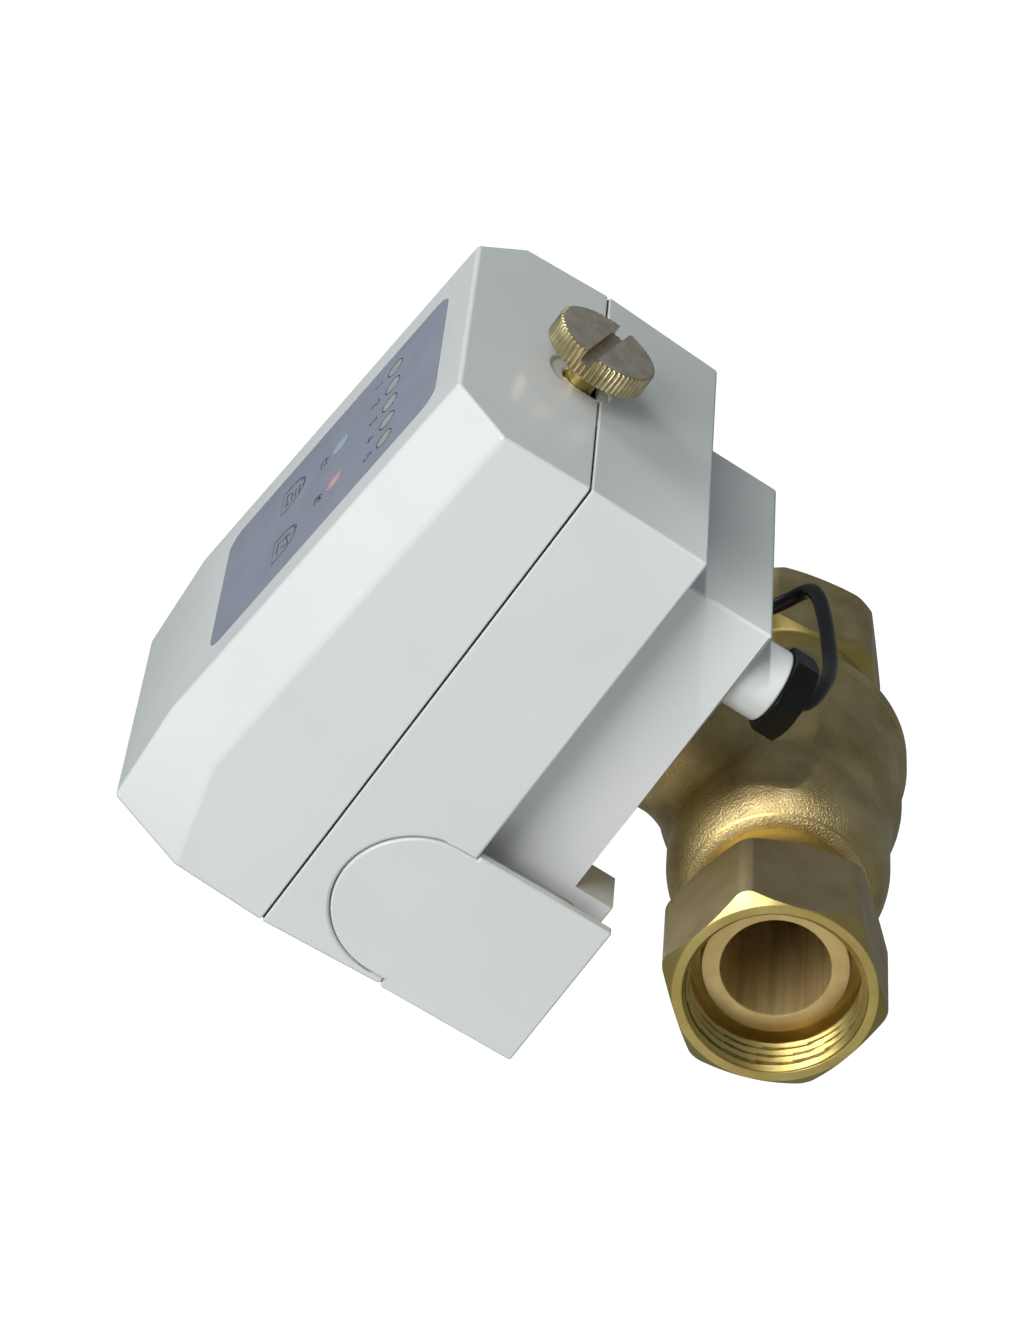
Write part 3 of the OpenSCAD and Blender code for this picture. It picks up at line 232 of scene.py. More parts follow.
# Sand-cast brass, shot-blasted: a dull sandy gold with a sparkling grain and browner tarnish in clouds.
# The grain is drawn 0.45 mm wide, coarser than it is, so that it shows in the render.
cast_brass, tree, surface = material("sand_cast_brass", {"Metallic": 1.0})
spot = add(tree, "TexCoord").outputs["Object"]
cloud = add(tree, "TexNoise", {"Vector": spot, "Scale": 1000 / 9, "Detail": 4})
sand = add(tree, "TexNoise", {"Vector": spot, "Scale": 1000 / 0.45, "Detail": 3, "Roughness": 0.6})
blend = add(tree, "Mix", {"Factor": 0.24, "A": cloud.outputs["Fac"], "B": sand.outputs["Fac"]})
add(tree, "ValToRGB", {"Fac": blend.outputs["Result"]}, {"Color": surface.inputs["Base Color"]},
    stops=((0.36, "#b09b6c"), (0.5, "#c7b17e"), (0.64, "#dac592")))
add(tree, "MapRange", {"Value": sand.outputs["Fac"], "To Min": 0.52, "To Max": 0.28},
    {"Result": surface.inputs["Roughness"]})
add(tree, "Bump", {"Height": sand.outputs["Fac"], "Strength": 0.85, "Distance": 0.26 * MM},
    {"Normal": surface.inputs["Normal"]})

# Turned brass: clear gold with fine rings from the tool, 0.25 mm apart so that they show in the render.
turned_brass, tree, surface = material("turned_brass", {"Metallic": 1.0})
spot = add(tree, "TexCoord").outputs["Object"]
parts = add(tree, "SeparateXYZ", {"Vector": spot})
across = add(tree, "CombineXYZ", {"Y": parts.outputs["Y"], "Z": parts.outputs["Z"]})
radius = add(tree, "VectorMath", {"Vector": across.outputs["Vector"]}, operation="LENGTH")
depth = add(tree, "Math", {0: radius.outputs["Value"], 1: parts.outputs["X"]}, operation="ADD")
phase = add(tree, "Math", {0: depth.outputs["Value"], 1: 2 * math.pi / (0.25 * MM)}, operation="MULTIPLY")
rings = add(tree, "Math", {0: phase.outputs["Value"]}, operation="SINE")
cloud = add(tree, "TexNoise", {"Vector": spot, "Scale": 1000 / 5, "Detail": 4})
add(tree, "ValToRGB", {"Fac": cloud.outputs["Fac"]}, {"Color": surface.inputs["Base Color"]},
    stops=((0.3, "#c0a862"), (0.6, "#d0b972"), (0.8, "#dac681")))
add(tree, "MapRange", {"Value": cloud.outputs["Fac"], "To Min": 0.42, "To Max": 0.3},
    {"Result": surface.inputs["Roughness"]})
add(tree, "Bump", {"Height": rings.outputs["Value"], "Strength": 0.06, "Distance": 0.02 * MM},
    {"Normal": surface.inputs["Normal"]})

bm = turned(body_outline)
# Turned after casting: the collar, the inside and the line round the rim.
for face in bm.faces:
    middle = face.calc_center_median() / MM
    reach = math.hypot(middle.y, middle.z)
    inside = reach < collar_r or abs(reach - chamber_r) < 0.05
    if middle.x < dome_x or inside or 16.5 < middle.x < 17.2:
        face.material_index = 1
neck = [(stem_hole_r, 15), (neck_r - 2, 15), (neck_r, 17), (neck_r, neck_top - 0.3), (neck_r - 0.3, neck_top),
        (neck_thread_r, neck_top), (neck_thread_r, neck_thread_top - 0.6),
        (neck_thread_r - 0.6, neck_thread_top), (stem_hole_r, neck_thread_top)]
tower = turned(neck, 96)
tower.transform(Matrix.Rotation(math.radians(-90), 4, "Y"))
loose = bpy.data.meshes.new("neck")
tower.to_mesh(loose)
tower.free()
bm.from_mesh(loose)
bpy.data.meshes.remove(loose)
# The sand mould leaves a round fillet where the neck grows out of the barrel.
skirt_steps = 96
skirt = []
for k in range(skirt_steps):
    a = 2 * math.pi * k / skirt_steps
    out = Vector((math.cos(a), math.sin(a), 0))
    column = []
    heights = []
    for reach in (neck_r + fillet, neck_r):
        point = out * reach
        heights.append(math.sqrt(barrel_radius(point.x) ** 2 - point.y ** 2))
    foot = out * (neck_r + fillet) + Vector((0, 0, heights[0] - fillet_lap - 0.01))
    bend = out * (neck_r - fillet_lap) + Vector((0, 0, heights[1]))
    head = out * (neck_r - fillet_lap) + Vector((0, 0, min(heights[1] + fillet, neck_top - 0.5)))
    for step in range(9):
        t = step / 8
        point = foot * (1 - t) ** 2 + bend * 2 * t * (1 - t) + head * t ** 2
        column.append(bm.verts.new(point * MM))
    skirt.append(column)
for one, two in zip(skirt, skirt[1:] + skirt[:1]):
    for step in range(8):
        bm.faces.new((one[step], two[step], two[step + 1], one[step + 1]))
bmesh.ops.recalc_face_normals(bm, faces=bm.faces[:])
piece("cast_valve_body", bm, [cast_brass, turned_brass], "valve", "cast_brass", "valve_body")

# End cap
# Cast hexagon end with a turned groove behind it, screwed into the body to close the ball chamber. It has
# an inside pipe thread at its mouth.
hex_af = 36.5
hex_turn = 49
hex_start = 30
cap_outline = [
    (bore_r, 15.5), (16.9, 15.5), (16.96, 17.4), (15.6, 17.4), (15.6, 19.2), (16.96, 19.2), (16.96, body_end),
    (body_r, body_end), (body_r, 20.6), (23.6, 21.5), (23.2, 22.6), (22.6, 23.7), (21.8, 24.6), (20.9, 25.1),
    (19.95, 25.2), (19.2, 25.4), (18.6, 25.9), (18.1, 26.6), (17.75, 27.3), (17.55, 28.2), (17.55, 38.4),
    (17.7, 39), (18.1, 39.4), (20.15, 41.2), (20.15, 60.2), (19.8, 60.9), (18.9, 61.6), (18.2, 62),
    (13.75, 62), (12.3, 60.6)]
cap_pitch = 1.814
cap_thread_r = 12.05
cap_thread_end = 46.4
cap_outline += [(cap_thread_r, 60.4 - n * cap_pitch / 8) for n in range(62)]
cap_outline += [(cap_thread_r, 46.2), (bore_r, 46)]


def cut(bm, point, normal, start=-100):
    """Take off what lies beyond a plane, from this place along the pipe on, and close the cut."""
    chosen = [vert for vert in bm.verts if vert.co.x > start * MM]
    for part in bm.edges[:] + bm.faces[:]:
        if all(vert.co.x > start * MM for vert in part.verts):
            chosen.append(part)
    done = bmesh.ops.bisect_plane(bm, geom=chosen, dist=1e-7, plane_co=Vector(point) * MM, plane_no=normal,
                                  clear_outer=True)
    rim = [part for part in done["geom_cut"] if isinstance(part, bmesh.types.BMEdge)]
    bmesh.ops.holes_fill(bm, edges=rim)


def flats(bm, across, turn, start=-100, corner=0):
    """Cut a hexagon on the pipe axis, one flat turned this far from +Y, with corners of this radius."""
    centre = (across / 2 - corner) / math.cos(math.radians(30))
    for k in range(6):
        for lean in range(0, 60, 10) if corner else (0,):
            a = math.radians(turn + 60 * k + lean)
            out = Vector((0, math.cos(a), math.sin(a)))
            cut(bm, out * (centre * math.cos(math.radians(lean - 30)) + corner), out, start)


def cap_thread(radius, x, angle):
    """Pipe thread of 14 turns to the inch at the mouth of the cap."""
    if abs(radius - cap_thread_r) > 0.01 or not cap_thread_end < x < 60.3:
        return radius
    turn = (x / cap_pitch + angle / (2 * math.pi)) % 1
    return radius + 1.05 * (1 - abs(2 * turn - 1)) * min(1, (x - cap_thread_end) / 1.5)


bm = turned(cap_outline, 144, cap_thread)
flats(bm, hex_af, hex_turn, hex_start)
# Turned after casting: the inside, the groove behind the hexagon and the ring at the mouth.
for face in bm.faces:
    middle = face.calc_center_median() / MM
    reach = math.hypot(middle.y, middle.z)
    if reach < 17.2 or 25.1 < middle.x < 41.1 or (middle.x > 61.3 and reach < 18.3):
        face.material_index = 1
piece("cast_end_cap", bm, [cast_brass, turned_brass], "valve", "cast_brass", "end_cap")

# Tailpiece
# Sleeve turned from brass bar, with a flat ring that the pipe's washer seals on. It is screwed into the
# body, and its ring keeps the union nut from coming off.
sleeve_r = 11.35
tail_outline = [
    (bore_r, -53.9), (10.0, -54.3), (10.25, -54.4), (13.0, -54.4), (13.25, -54.3), (13.35, -54),
    (13.35, -50.9), (13.15, -50.7), (sleeve_r, -50.7), (sleeve_r, socket_end - 0.3),
    (sleeve_r - 0.3, socket_end), (bore_r, socket_end)]

# Faced brass: the sealing ring's clean cut, paler and warmer than the other turned faces.
faced_brass, tree, surface = material("faced_brass", {"Metallic": 0.86})
spot = add(tree, "TexCoord").outputs["Object"]
cloud = add(tree, "TexNoise", {"Vector": spot, "Scale": 1000 / 4, "Detail": 4})
add(tree, "ValToRGB", {"Fac": cloud.outputs["Fac"]}, {"Color": surface.inputs["Base Color"]},
    stops=((0.3, "#dcbb76"), (0.7, "#e9cd8e")))
add(tree, "MapRange", {"Value": cloud.outputs["Fac"], "To Min": 0.36, "To Max": 0.26},
    {"Result": surface.inputs["Roughness"]})

# Bored brass: browner than the turned faces, where water has dulled it. Its faint streaks along the bore are
# painted reflections.
bored_brass, tree, surface = material("bored_brass", {"Metallic": 0.45})
spot = add(tree, "TexCoord").outputs["Object"]
along = add(tree, "Mapping", {"Vector": spot, "Scale": (0.05, 1, 1)})
painted_reflection_streak = add(tree, "TexNoise", {"Vector": along.outputs["Vector"], "Scale": 1000 / 2.5, "Detail": 3})
add(tree, "ValToRGB", {"Fac": painted_reflection_streak.outputs["Fac"]}, {"Color": surface.inputs["Base Color"]},
    stops=((0.35, "#b99b62"), (0.65, "#e0c68c")))
add(tree, "MapRange", {"Value": painted_reflection_streak.outputs["Fac"], "To Min": 0.55, "To Max": 0.4},
    {"Result": surface.inputs["Roughness"]})

bm = turned(tail_outline)
for face in bm.faces:
    middle = face.calc_center_median() / MM
    if math.hypot(middle.y, middle.z) < bore_r + 0.15:
        face.material_index = 1
piece("turned_tailpiece", bm, [faced_brass, bored_brass], "valve", "turned_brass", "tailpiece")

# Union nut
# Loose nut sawn from drawn hexagon brass bar with soft corners. Its ends are turned to a chamfer, and it
# has an inside thread of 11 turns to the inch. The tailpiece's ring holds it.
nut_af = 36.5
nut_turn = 40
nut_corner = 3.7
nut_outline = [
    (11.65, -41), (18, -41), (18.4, -41.2), (20.5, -42.8), (20.5, -60.8), (18.3, -62.8), (17.95, -63),
    (16.75, -63), (16.45, -62.8)]
nut_pitch = 2.309
nut_thread_r = 15.15
nut_outline += [(nut_thread_r, -62.5 + n * nut_pitch / 16) for n in range(55)]
nut_outline += [(15.65, -54.4), (15.65, -50.4), (11.65, -50.4)]


def nut_bore(radius, x, angle):
    """Pipe thread of 11 turns to the inch, open at the mouth and fading out at the bottom."""
    if abs(radius - nut_thread_r) > 0.01:
        return radius
    turn = (x / nut_pitch + angle / (2 * math.pi)) % 1
    groove = 1 - abs(2 * turn - 1)
    fade = min(1, max(0, (-54.6 - x) / 1.2))
    mouth = max(0, -61.4 - x) * 1.1
    return radius + max(1.45 * groove * fade, mouth)


# Drawn brass bar: a browner skin with a soft sheen and faint lines along the bar.
drawn_brass, tree, surface = material("drawn_brass_bar", {"Metallic": 1.0})
spot = add(tree, "TexCoord").outputs["Object"]
along = add(tree, "Mapping", {"Vector": spot, "Scale": (0.06, 1, 1)})
lines = add(tree, "TexNoise", {"Vector": along.outputs["Vector"], "Scale": 1000 / 0.5, "Detail": 2})
cloud = add(tree, "TexNoise", {"Vector": spot, "Scale": 1000 / 8, "Detail": 5})
add(tree, "ValToRGB", {"Fac": cloud.outputs["Fac"]}, {"Color": surface.inputs["Base Color"]},
    stops=((0.3, "#b7a176"), (0.6, "#c7b286"), (0.8, "#d1bd92")))
add(tree, "MapRange", {"Value": cloud.outputs["Fac"], "To Min": 0.46, "To Max": 0.36},
    {"Result": surface.inputs["Roughness"]})
add(tree, "Bump", {"Height": lines.outputs["Fac"], "Strength": 0.2, "Distance": 0.03 * MM},
    {"Normal": surface.inputs["Normal"]})

# Painted shade: the roots of the thread are coloured dark brown, so that the thread lines show.
painted_shade_root, tree, surface = material("thread_root_painted_shade", {"Metallic": 0.9, "Roughness": 0.5})
spot = add(tree, "TexCoord").outputs["Object"]
root_shade_cloud = add(tree, "TexNoise", {"Vector": spot, "Scale": 1000 / 1.5, "Detail": 4})
add(tree, "ValToRGB", {"Fac": root_shade_cloud.outputs["Fac"]}, {"Color": surface.inputs["Base Color"]},
    stops=((0.3, "#5e4f2c"), (0.7, "#8c7843")))

bm = turned(nut_outline, 180, nut_bore)
flats(bm, nut_af, nut_turn, corner=nut_corner)
# The flats keep the skin of the bar, and the roots of the thread get painted shade.
for face in bm.faces:
    middle = face.calc_center_median() / MM
    reach = math.hypot(middle.y, middle.z)
    slanted = abs(face.normal.x) > 0.2
    if reach > 17 and not slanted:
        face.material_index = 1
    elif 15.8 < reach < 16.6 and -61.4 < middle.x < -55:
        face.material_index = 2
piece("threaded_union_nut", bm, [turned_brass, drawn_brass, painted_shade_root], "union", "turned_brass",
      "union_nut")

# Ball, seats and stem
# Hard-chromed brass ball between two PTFE rings, the brass stem that turns it, the rubber rings that keep
# the water in and the brass nut that clamps the gear case to the neck.


def dress(finish, *names):
    """Give CAD pieces that keep their shape a finish."""
    for name in names:
        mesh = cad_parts[name].data
        mesh.materials.clear()
        mesh.materials.append(finish)


# Hard chrome: a bright cool mirror with the faintest polishing haze.
hard_chrome, tree, surface = material("hard_chrome", {"Base Color": srgb("#c9ccd1"), "Metallic": 1.0})
spot = add(tree, "TexCoord").outputs["Object"]
haze = add(tree, "TexNoise", {"Vector": spot, "Scale": 1000 / 2, "Detail": 5})
add(tree, "MapRange", {"Value": haze.outputs["Fac"], "To Min": 0.06, "To Max": 0.16},
    {"Result": surface.inputs["Roughness"]})
dress(hard_chrome, "ball")

# PTFE: waxy white with soft clouds under the surface.
white_ptfe, tree, surface = material("pressed_ptfe", {"Roughness": 0.38, "IOR": 1.35})
spot = add(tree, "TexCoord").outputs["Object"]
cloud = add(tree, "TexNoise", {"Vector": spot, "Scale": 1000 / 4, "Detail": 3})
add(tree, "ValToRGB", {"Fac": cloud.outputs["Fac"]}, {"Color": surface.inputs["Base Color"]},
    stops=((0.35, "#e4e4df"), (0.65, "#f3f3ef")))
dress(white_ptfe, "seat_rings")

# Moulded rubber: deep black, nearly without gloss, with a fine skin.
soft_rubber, tree, surface = material("moulded_rubber_black", {"Roughness": 0.62, "IOR": 1.52})
spot = add(tree, "TexCoord").outputs["Object"]
skin = add(tree, "TexNoise", {"Vector": spot, "Scale": 1000 / 0.4, "Detail": 3})
add(tree, "ValToRGB", {"Fac": skin.outputs["Fac"]}, {"Color": surface.inputs["Base Color"]},
    stops=((0.35, "#141415"), (0.7, "#252526")))
add(tree, "Bump", {"Height": skin.outputs["Fac"], "Strength": 0.3, "Distance": 0.03 * MM},
    {"Normal": surface.inputs["Normal"]})
dress(soft_rubber, "body_o_ring", "stem_o_rings", "gland_seal", "lead_grommet", "cover_seal")
dress(turned_brass, "stem", "neck_lock_nut")

# Gear case
# Box moulded in off-white ABS under the base, with two legs at the hinge end and a boss for the gland. Four
# screws from inside the base hold it.


def rounded(node, widths):
    """Copy a moulded CAD piece and round its outer edges: a radius, the least angle and which edges."""
    bm = bmesh.new()
    bm.from_mesh(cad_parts[node].data)
    bmesh.ops.remove_doubles(bm, verts=bm.verts[:], dist=2e-6)
    bmesh.ops.dissolve_limit(bm, angle_limit=math.radians(0.4), verts=bm.verts[:], edges=bm.edges[:])
    for width, least, wanted in widths:
        bm.normal_update()
        search = BVHTree.FromBMesh(bm)
        outer = set()
        for face in bm.faces:
            start = face.calc_center_median() + face.normal * 0.05 * MM
            if search.ray_cast(start, face.normal)[0] is None:
                outer.add(face.index)
        chosen = []
        for edge in bm.edges:
            if len(edge.link_faces) != 2 or not edge.is_convex:
                continue
            if edge.calc_face_angle(0) < math.radians(least):
                continue
            if all(face.index in outer for face in edge.link_faces):
                if wanted((edge.verts[0].co + edge.verts[1].co) / 2 / MM):
                    chosen.append(edge)
        bmesh.ops.bevel(bm, geom=chosen, offset=width * MM, offset_type="OFFSET", segments=3, profile=0.5,
                        affect="EDGES", clamp_overlap=False)
    return bm


# ABS moulded against a lightly etched tool: off-white and satin, with a soft blur of what stands near it.
white_abs, tree, surface = material("moulded_abs_white", {"IOR": 1.53})
spot = add(tree, "TexCoord").outputs["Object"]
cloud = add(tree, "TexNoise", {"Vector": spot, "Scale": 1000 / 40, "Detail": 2})
add(tree, "ValToRGB", {"Fac": cloud.outputs["Fac"]}, {"Color": surface.inputs["Base Color"]},
    stops=((0.3, "#e1e4e4"), (0.7, "#e6e9e9")))
add(tree, "MapRange", {"Value": cloud.outputs["Fac"], "To Min": 0.14, "To Max": 0.2},
    {"Result": surface.inputs["Roughness"]})
etch = add(tree, "TexNoise", {"Vector": spot, "Scale": 1000 / 0.5, "Detail": 3})
add(tree, "Bump", {"Height": etch.outputs["Fac"], "Strength": 0.1, "Distance": 0.01 * MM},
    {"Normal": surface.inputs["Normal"]})
bm = rounded("gear_case", [(0.7, 50, lambda at: at.z < 50.5)])
piece("moulded_gear_case", bm, [white_abs], "valve", "white_abs", "gear_case")

# Gear train
# Acetal gears moulded white and running dry, a steel coupling on the stem's square, the motor's brass
# pinion and the blue cam that trips the end switches.

# Acetal: milky, slightly waxy white.
white_acetal, tree, surface = material("moulded_acetal", {"Roughness": 0.35, "IOR": 1.48})
spot = add(tree, "TexCoord").outputs["Object"]
cloud = add(tree, "TexNoise", {"Vector": spot, "Scale": 1000 / 5, "Detail": 3})
add(tree, "ValToRGB", {"Fac": cloud.outputs["Fac"]}, {"Color": surface.inputs["Base Color"]},
    stops=((0.35, "#dcd8c8"), (0.65, "#ebe8db")))
dress(white_acetal, "output_gear", "reduction_wheel")

# The cam is the same acetal, coloured blue in the melt.
blue_acetal, tree, surface = material("moulded_acetal_blue", {"Roughness": 0.36, "IOR": 1.48})
spot = add(tree, "TexCoord").outputs["Object"]
cloud = add(tree, "TexNoise", {"Vector": spot, "Scale": 1000 / 4, "Detail": 3})
add(tree, "ValToRGB", {"Fac": cloud.outputs["Fac"]}, {"Color": surface.inputs["Base Color"]},
    stops=((0.35, "#294f86"), (0.65, "#3565a6")))
dress(blue_acetal, "limit_cam")

# Zinc-plated steel: cool grey with cloudy passivation and rolling marks.
plated_steel, tree, surface = material("zinc_plated_steel", {"Metallic": 1.0})
spot = add(tree, "TexCoord").outputs["Object"]
cloud = add(tree, "TexNoise", {"Vector": spot, "Scale": 1000 / 6, "Detail": 5})
add(tree, "ValToRGB", {"Fac": cloud.outputs["Fac"]}, {"Color": surface.inputs["Base Color"]},
    stops=((0.3, "#9c9fa4"), (0.7, "#bfc2c6")))
add(tree, "MapRange", {"Value": cloud.outputs["Fac"], "To Min": 0.4, "To Max": 0.26},
    {"Result": surface.inputs["Roughness"]})
dress(plated_steel, "drive_coupling", "wheel_axle", "motor", "motor_screws", "gear_plate", "plate_screws",
      "case_screws", "hinge_pin", "board_screws", "tray_screws")
dress(turned_brass, "motor_pinion", "thumbscrew_insert")

# Base
# Lower half of the housing, moulded in the same ABS. Each side has a round-topped seat for the clip, and
# the rim has a groove for the seal.
rim_z = 76
hinge_y = 53.6
bm = rounded("base_shell", [
    (0.7, 40, lambda at: at.z < rim_z - 0.6 and abs(at.x) < 40 and at.y < hinge_y),
    (0.35, 60, lambda at: at.z > rim_z - 0.6 and at.y < hinge_y)])
piece("moulded_base_shell", bm, [white_abs], "valve", "white_abs", "base_shell")

# Cover
# Upper half of the housing, moulded in ABS with slanted sides and a ridge across the top. It swings on a
# steel pin at the far end and is shut by the thumbscrew.
bm = rounded("cover_shell", [(0.8, 20, lambda at: at.z > rim_z + 2 and at.y < hinge_y),
                             (0.35, 60, lambda at: at.z < rim_z + 2 and at.y < hinge_y)])
piece("moulded_cover_shell", bm, [white_abs], "cover", "white_abs", "cover_shell")

# Panel film
# Polyester film, printed grey on its back and stuck in a shallow recess of the cover. Dark rings, numbers
# and key outlines are screen printed on it.
panel_foot = Vector((0, -52.626, 103.9))
panel_tilt = math.radians(4.491)
panel = Matrix.Translation(panel_foot) @ Matrix.Rotation(panel_tilt, 4, "X")
zone_y = 23.2
state_y = 38.8
key_y = 53.2
zone_x = [14.4, 7.2, 0, -7.2, -14.4]
state_x = 7.3
key_x = 9.6
zone_ring_r = 2.12
figure_y = zone_y + 4.9
figure_size = 1.05
sign_y = state_y + 4.6
ink_lift = 0.03


def printed(name, strokes, width, finish, body):
    """Screen-print lines on the panel: each stroke is a list of places across and along it."""
    bm = bmesh.new()
    for stroke in strokes:
        closed = stroke[0] == stroke[-1]
        places = [Vector((x, y, ink_lift)) for x, y in (stroke[:-1] if closed else stroke)]
        count = len(places)
        sides = []
        for n, place in enumerate(places):
            before = places[n - 1] if n or closed else place
            after = places[(n + 1) % count] if n < count - 1 or closed else place
            first = (place - before).normalized() if place != before else (after - place).normalized()
            second = (after - place).normalized() if place != after else first
            aside = (first + second).normalized().cross(Vector((0, 0, 1)))
            spread = width / 2 / max(0.5, aside.dot(first.cross(Vector((0, 0, 1)))))
            sides.append([bm.verts.new(panel @ (place + aside * spread * s) * MM) for s in (-1, 1)])
        ends = zip(sides, sides[1:] + sides[:1]) if closed else zip(sides, sides[1:])
        for one, two in ends:
            bm.faces.new((one[0], one[1], two[1], two[0]))
    for face in bm.faces:
        face.normal_update()
        if face.normal.z < 0:
            face.normal_flip()
    return piece(name, bm, [finish], body, "panel_grey")


def circle(x, y, r, count=32):
    """Places round a printed ring."""
    return [(x + r * math.cos(2 * math.pi * n / count), y + r * math.sin(2 * math.pi * n / count))
            for n in range(count)] + [(x + r, y)]


# Polyester film: cool grey, matt, with a fine grain from its hard coat.
grey_film, tree, surface = material("printed_polyester_film", {"IOR": 1.57})
spot = add(tree, "TexCoord").outputs["Object"]
cloud = add(tree, "TexNoise", {"Vector": spot, "Scale": 1000 / 12, "Detail": 3})
add(tree, "ValToRGB", {"Fac": cloud.outputs["Fac"]}, {"Color": surface.inputs["Base Color"]},
    stops=((0.3, "#888d9d"), (0.7, "#9297a7")))
add(tree, "MapRange", {"Value": cloud.outputs["Fac"], "To Min": 0.44, "To Max": 0.52},
    {"Result": surface.inputs["Roughness"]})
coat = add(tree, "TexNoise", {"Vector": spot, "Scale": 1000 / 0.3, "Detail": 2})
add(tree, "Bump", {"Height": coat.outputs["Fac"], "Strength": 0.15, "Distance": 0.01 * MM},
    {"Normal": surface.inputs["Normal"]})
dress(grey_film, "panel_film", "open_key", "shut_key")

# Screen ink: matt charcoal, a little uneven at its edges.
dark_ink, tree, surface = material("screen_ink_charcoal", {"Roughness": 0.6, "IOR": 1.5})
spot = add(tree, "TexCoord").outputs["Object"]
cloud = add(tree, "TexNoise", {"Vector": spot, "Scale": 1000 / 0.4, "Detail": 2})
add(tree, "ValToRGB", {"Fac": cloud.outputs["Fac"]}, {"Color": surface.inputs["Base Color"]},
    stops=((0.3, "#3a3d46"), (0.7, "#4b4e58")))
figures = {
    1: [[(-0.5, 0.6), (0, 1), (0, -1)]],
    2: [[(-0.6, 0.5), (-0.3, 0.95), (0.3, 0.95), (0.6, 0.5), (0.4, 0.05), (-0.6, -1), (0.65, -1)]],
    3: [[(-0.55, 1), (0.55, 1), (0, 0.25), (0.45, 0), (0.55, -0.5), (0.2, -0.95), (-0.3, -0.95),
         (-0.6, -0.6)]],
    4: [[(0.3, -1), (0.3, 1), (-0.65, -0.4), (0.7, -0.4)]],
    5: [[(0.5, 1), (-0.45, 1), (-0.5, 0.15), (0.15, 0.25), (0.55, -0.2), (0.45, -0.75), (0, -1),
         (-0.55, -0.8)]]}
strokes = [circle(x, zone_y, zone_ring_r) for x in zone_x]
for number, x in zip(figures, zone_x):
    for stroke in figures[number]:
        strokes.append([(x - u * figure_size, figure_y - v * figure_size) for u, v in stroke])
tap = [[(1.85, 2.2), (-2.2, 2.2)], [(1.85, 2.2), (1.5, -0.3), (0.1, -2.2)],
       [(1.5, -0.3), (-2.6, -1.3), (-1.2, 1)]]
for x in (state_x, -state_x):
    for stroke in tap:
        strokes.append([(x + u * 0.6, sign_y + v * 0.5) for u, v in stroke])
# A bar through the second tap says that it is shut.
strokes.append([(-state_x - 1.4, sign_y - 1.1), (-state_x + 1.4, sign_y + 1.2)])
printed("zone_numbers_print", strokes, 0.28, dark_ink, "cover")

# Windows
# Clear and tinted polycarbonate light pipes pressed through the cover under the film. The two below the
# row have rings in their own colour.
state_ring_r = 2.08
for node, name, ring_name, low, high, ring in (
        ("zone_windows", "clear_polycarbonate", None, "#a3abab", "#b2bab8", None),
        ("open_window", "blue_polycarbonate", "open_ring_print", "#a3b8d3", "#b4c6dc", "#6f97cf"),
        ("shut_window", "red_polycarbonate", "shut_ring_print", "#c9a9b2", "#d6b8bf", "#c4697a")):
    # Polycarbonate over white light pipes: smooth and glossy, tinted in the melt.
    lens_plastic, tree, surface = material(name, {"Roughness": 0.16, "IOR": 1.58})
    spot = add(tree, "TexCoord").outputs["Object"]
    cloud = add(tree, "TexNoise", {"Vector": spot, "Scale": 1000 / 2.5, "Detail": 2})
    add(tree, "ValToRGB", {"Fac": cloud.outputs["Fac"]}, {"Color": surface.inputs["Base Color"]},
        stops=((0.35, low), (0.65, high)))
    dress(lens_plastic, node)
    if ring:
        ring_ink, tree, surface = material(name.replace("polycarbonate", "screen_ink"),
                                           {"Roughness": 0.55, "IOR": 1.5})
        spot = add(tree, "TexCoord").outputs["Object"]
        cloud = add(tree, "TexNoise", {"Vector": spot, "Scale": 1000 / 0.4, "Detail": 2})
        add(tree, "ValToRGB", {"Fac": cloud.outputs["Fac"]}, {"Color": surface.inputs["Base Color"]},
            stops=((0.2, ring), (0.9, high)))
        x = state_x if node == "open_window" else -state_x
        printed(ring_name, [circle(x, state_y, state_ring_r)], 0.36, ring_ink, "cover")

# Keys
# Two soft keys cut out of the panel film over tact switches. Each has a printed arch and a plain sign: four
# bars on the one that opens and a tap on the one that shuts.
arch_r = 4.2
arch_y = 1
leg_y = 3.3
arch = [(-arch_r, leg_y)]
for step in range(17):
    a = math.pi * step / 16
    arch.append((-arch_r * math.cos(a), arch_y - arch_r * math.sin(a)))
arch += [(arch_r, leg_y)]
bars = [[(0.9, -1.8), (-2.7, -1.8)], [(0.9, -0.6), (-2.7, -0.6)], [(0.9, 0.5), (-2.5, 0.5)],
        [(0.9, 0.5), (2, 2.15), (-2.1, 2.15), (-2.5, 1)]]
for x, sign, name, body in ((key_x, bars, "open_key_sign", "open_key_pad"),
                            (-key_x, tap, "shut_key_sign", "shut_key_pad")):
    strokes = [[(x + u, key_y + v) for u, v in stroke] for stroke in [arch] + sign]
    printed(name, strokes, 0.3, dark_ink, body)

# Circuit board
# Glass-fibre board under the panel with the light-emitting diodes and the tact switches soldered on.

# Solder resist: dark green gloss over woven glass, with copper tracks showing as a lighter net.
green_board, tree, surface = material("solder_resist_green", {"Roughness": 0.3, "IOR": 1.55})
spot = add(tree, "TexCoord").outputs["Object"]
add(tree, "TexBrick", {"Vector": spot, "Scale": 1.0, "Mortar Size": 0.3 * MM, "Brick Width": 5 * MM,
                       "Row Height": 2 * MM, "Color1": srgb("#17592f"), "Color2": srgb("#1a6335"),
                       "Mortar": srgb("#2c8450")}, {"Color": surface.inputs["Base Color"]})
dress(green_board, "control_board")

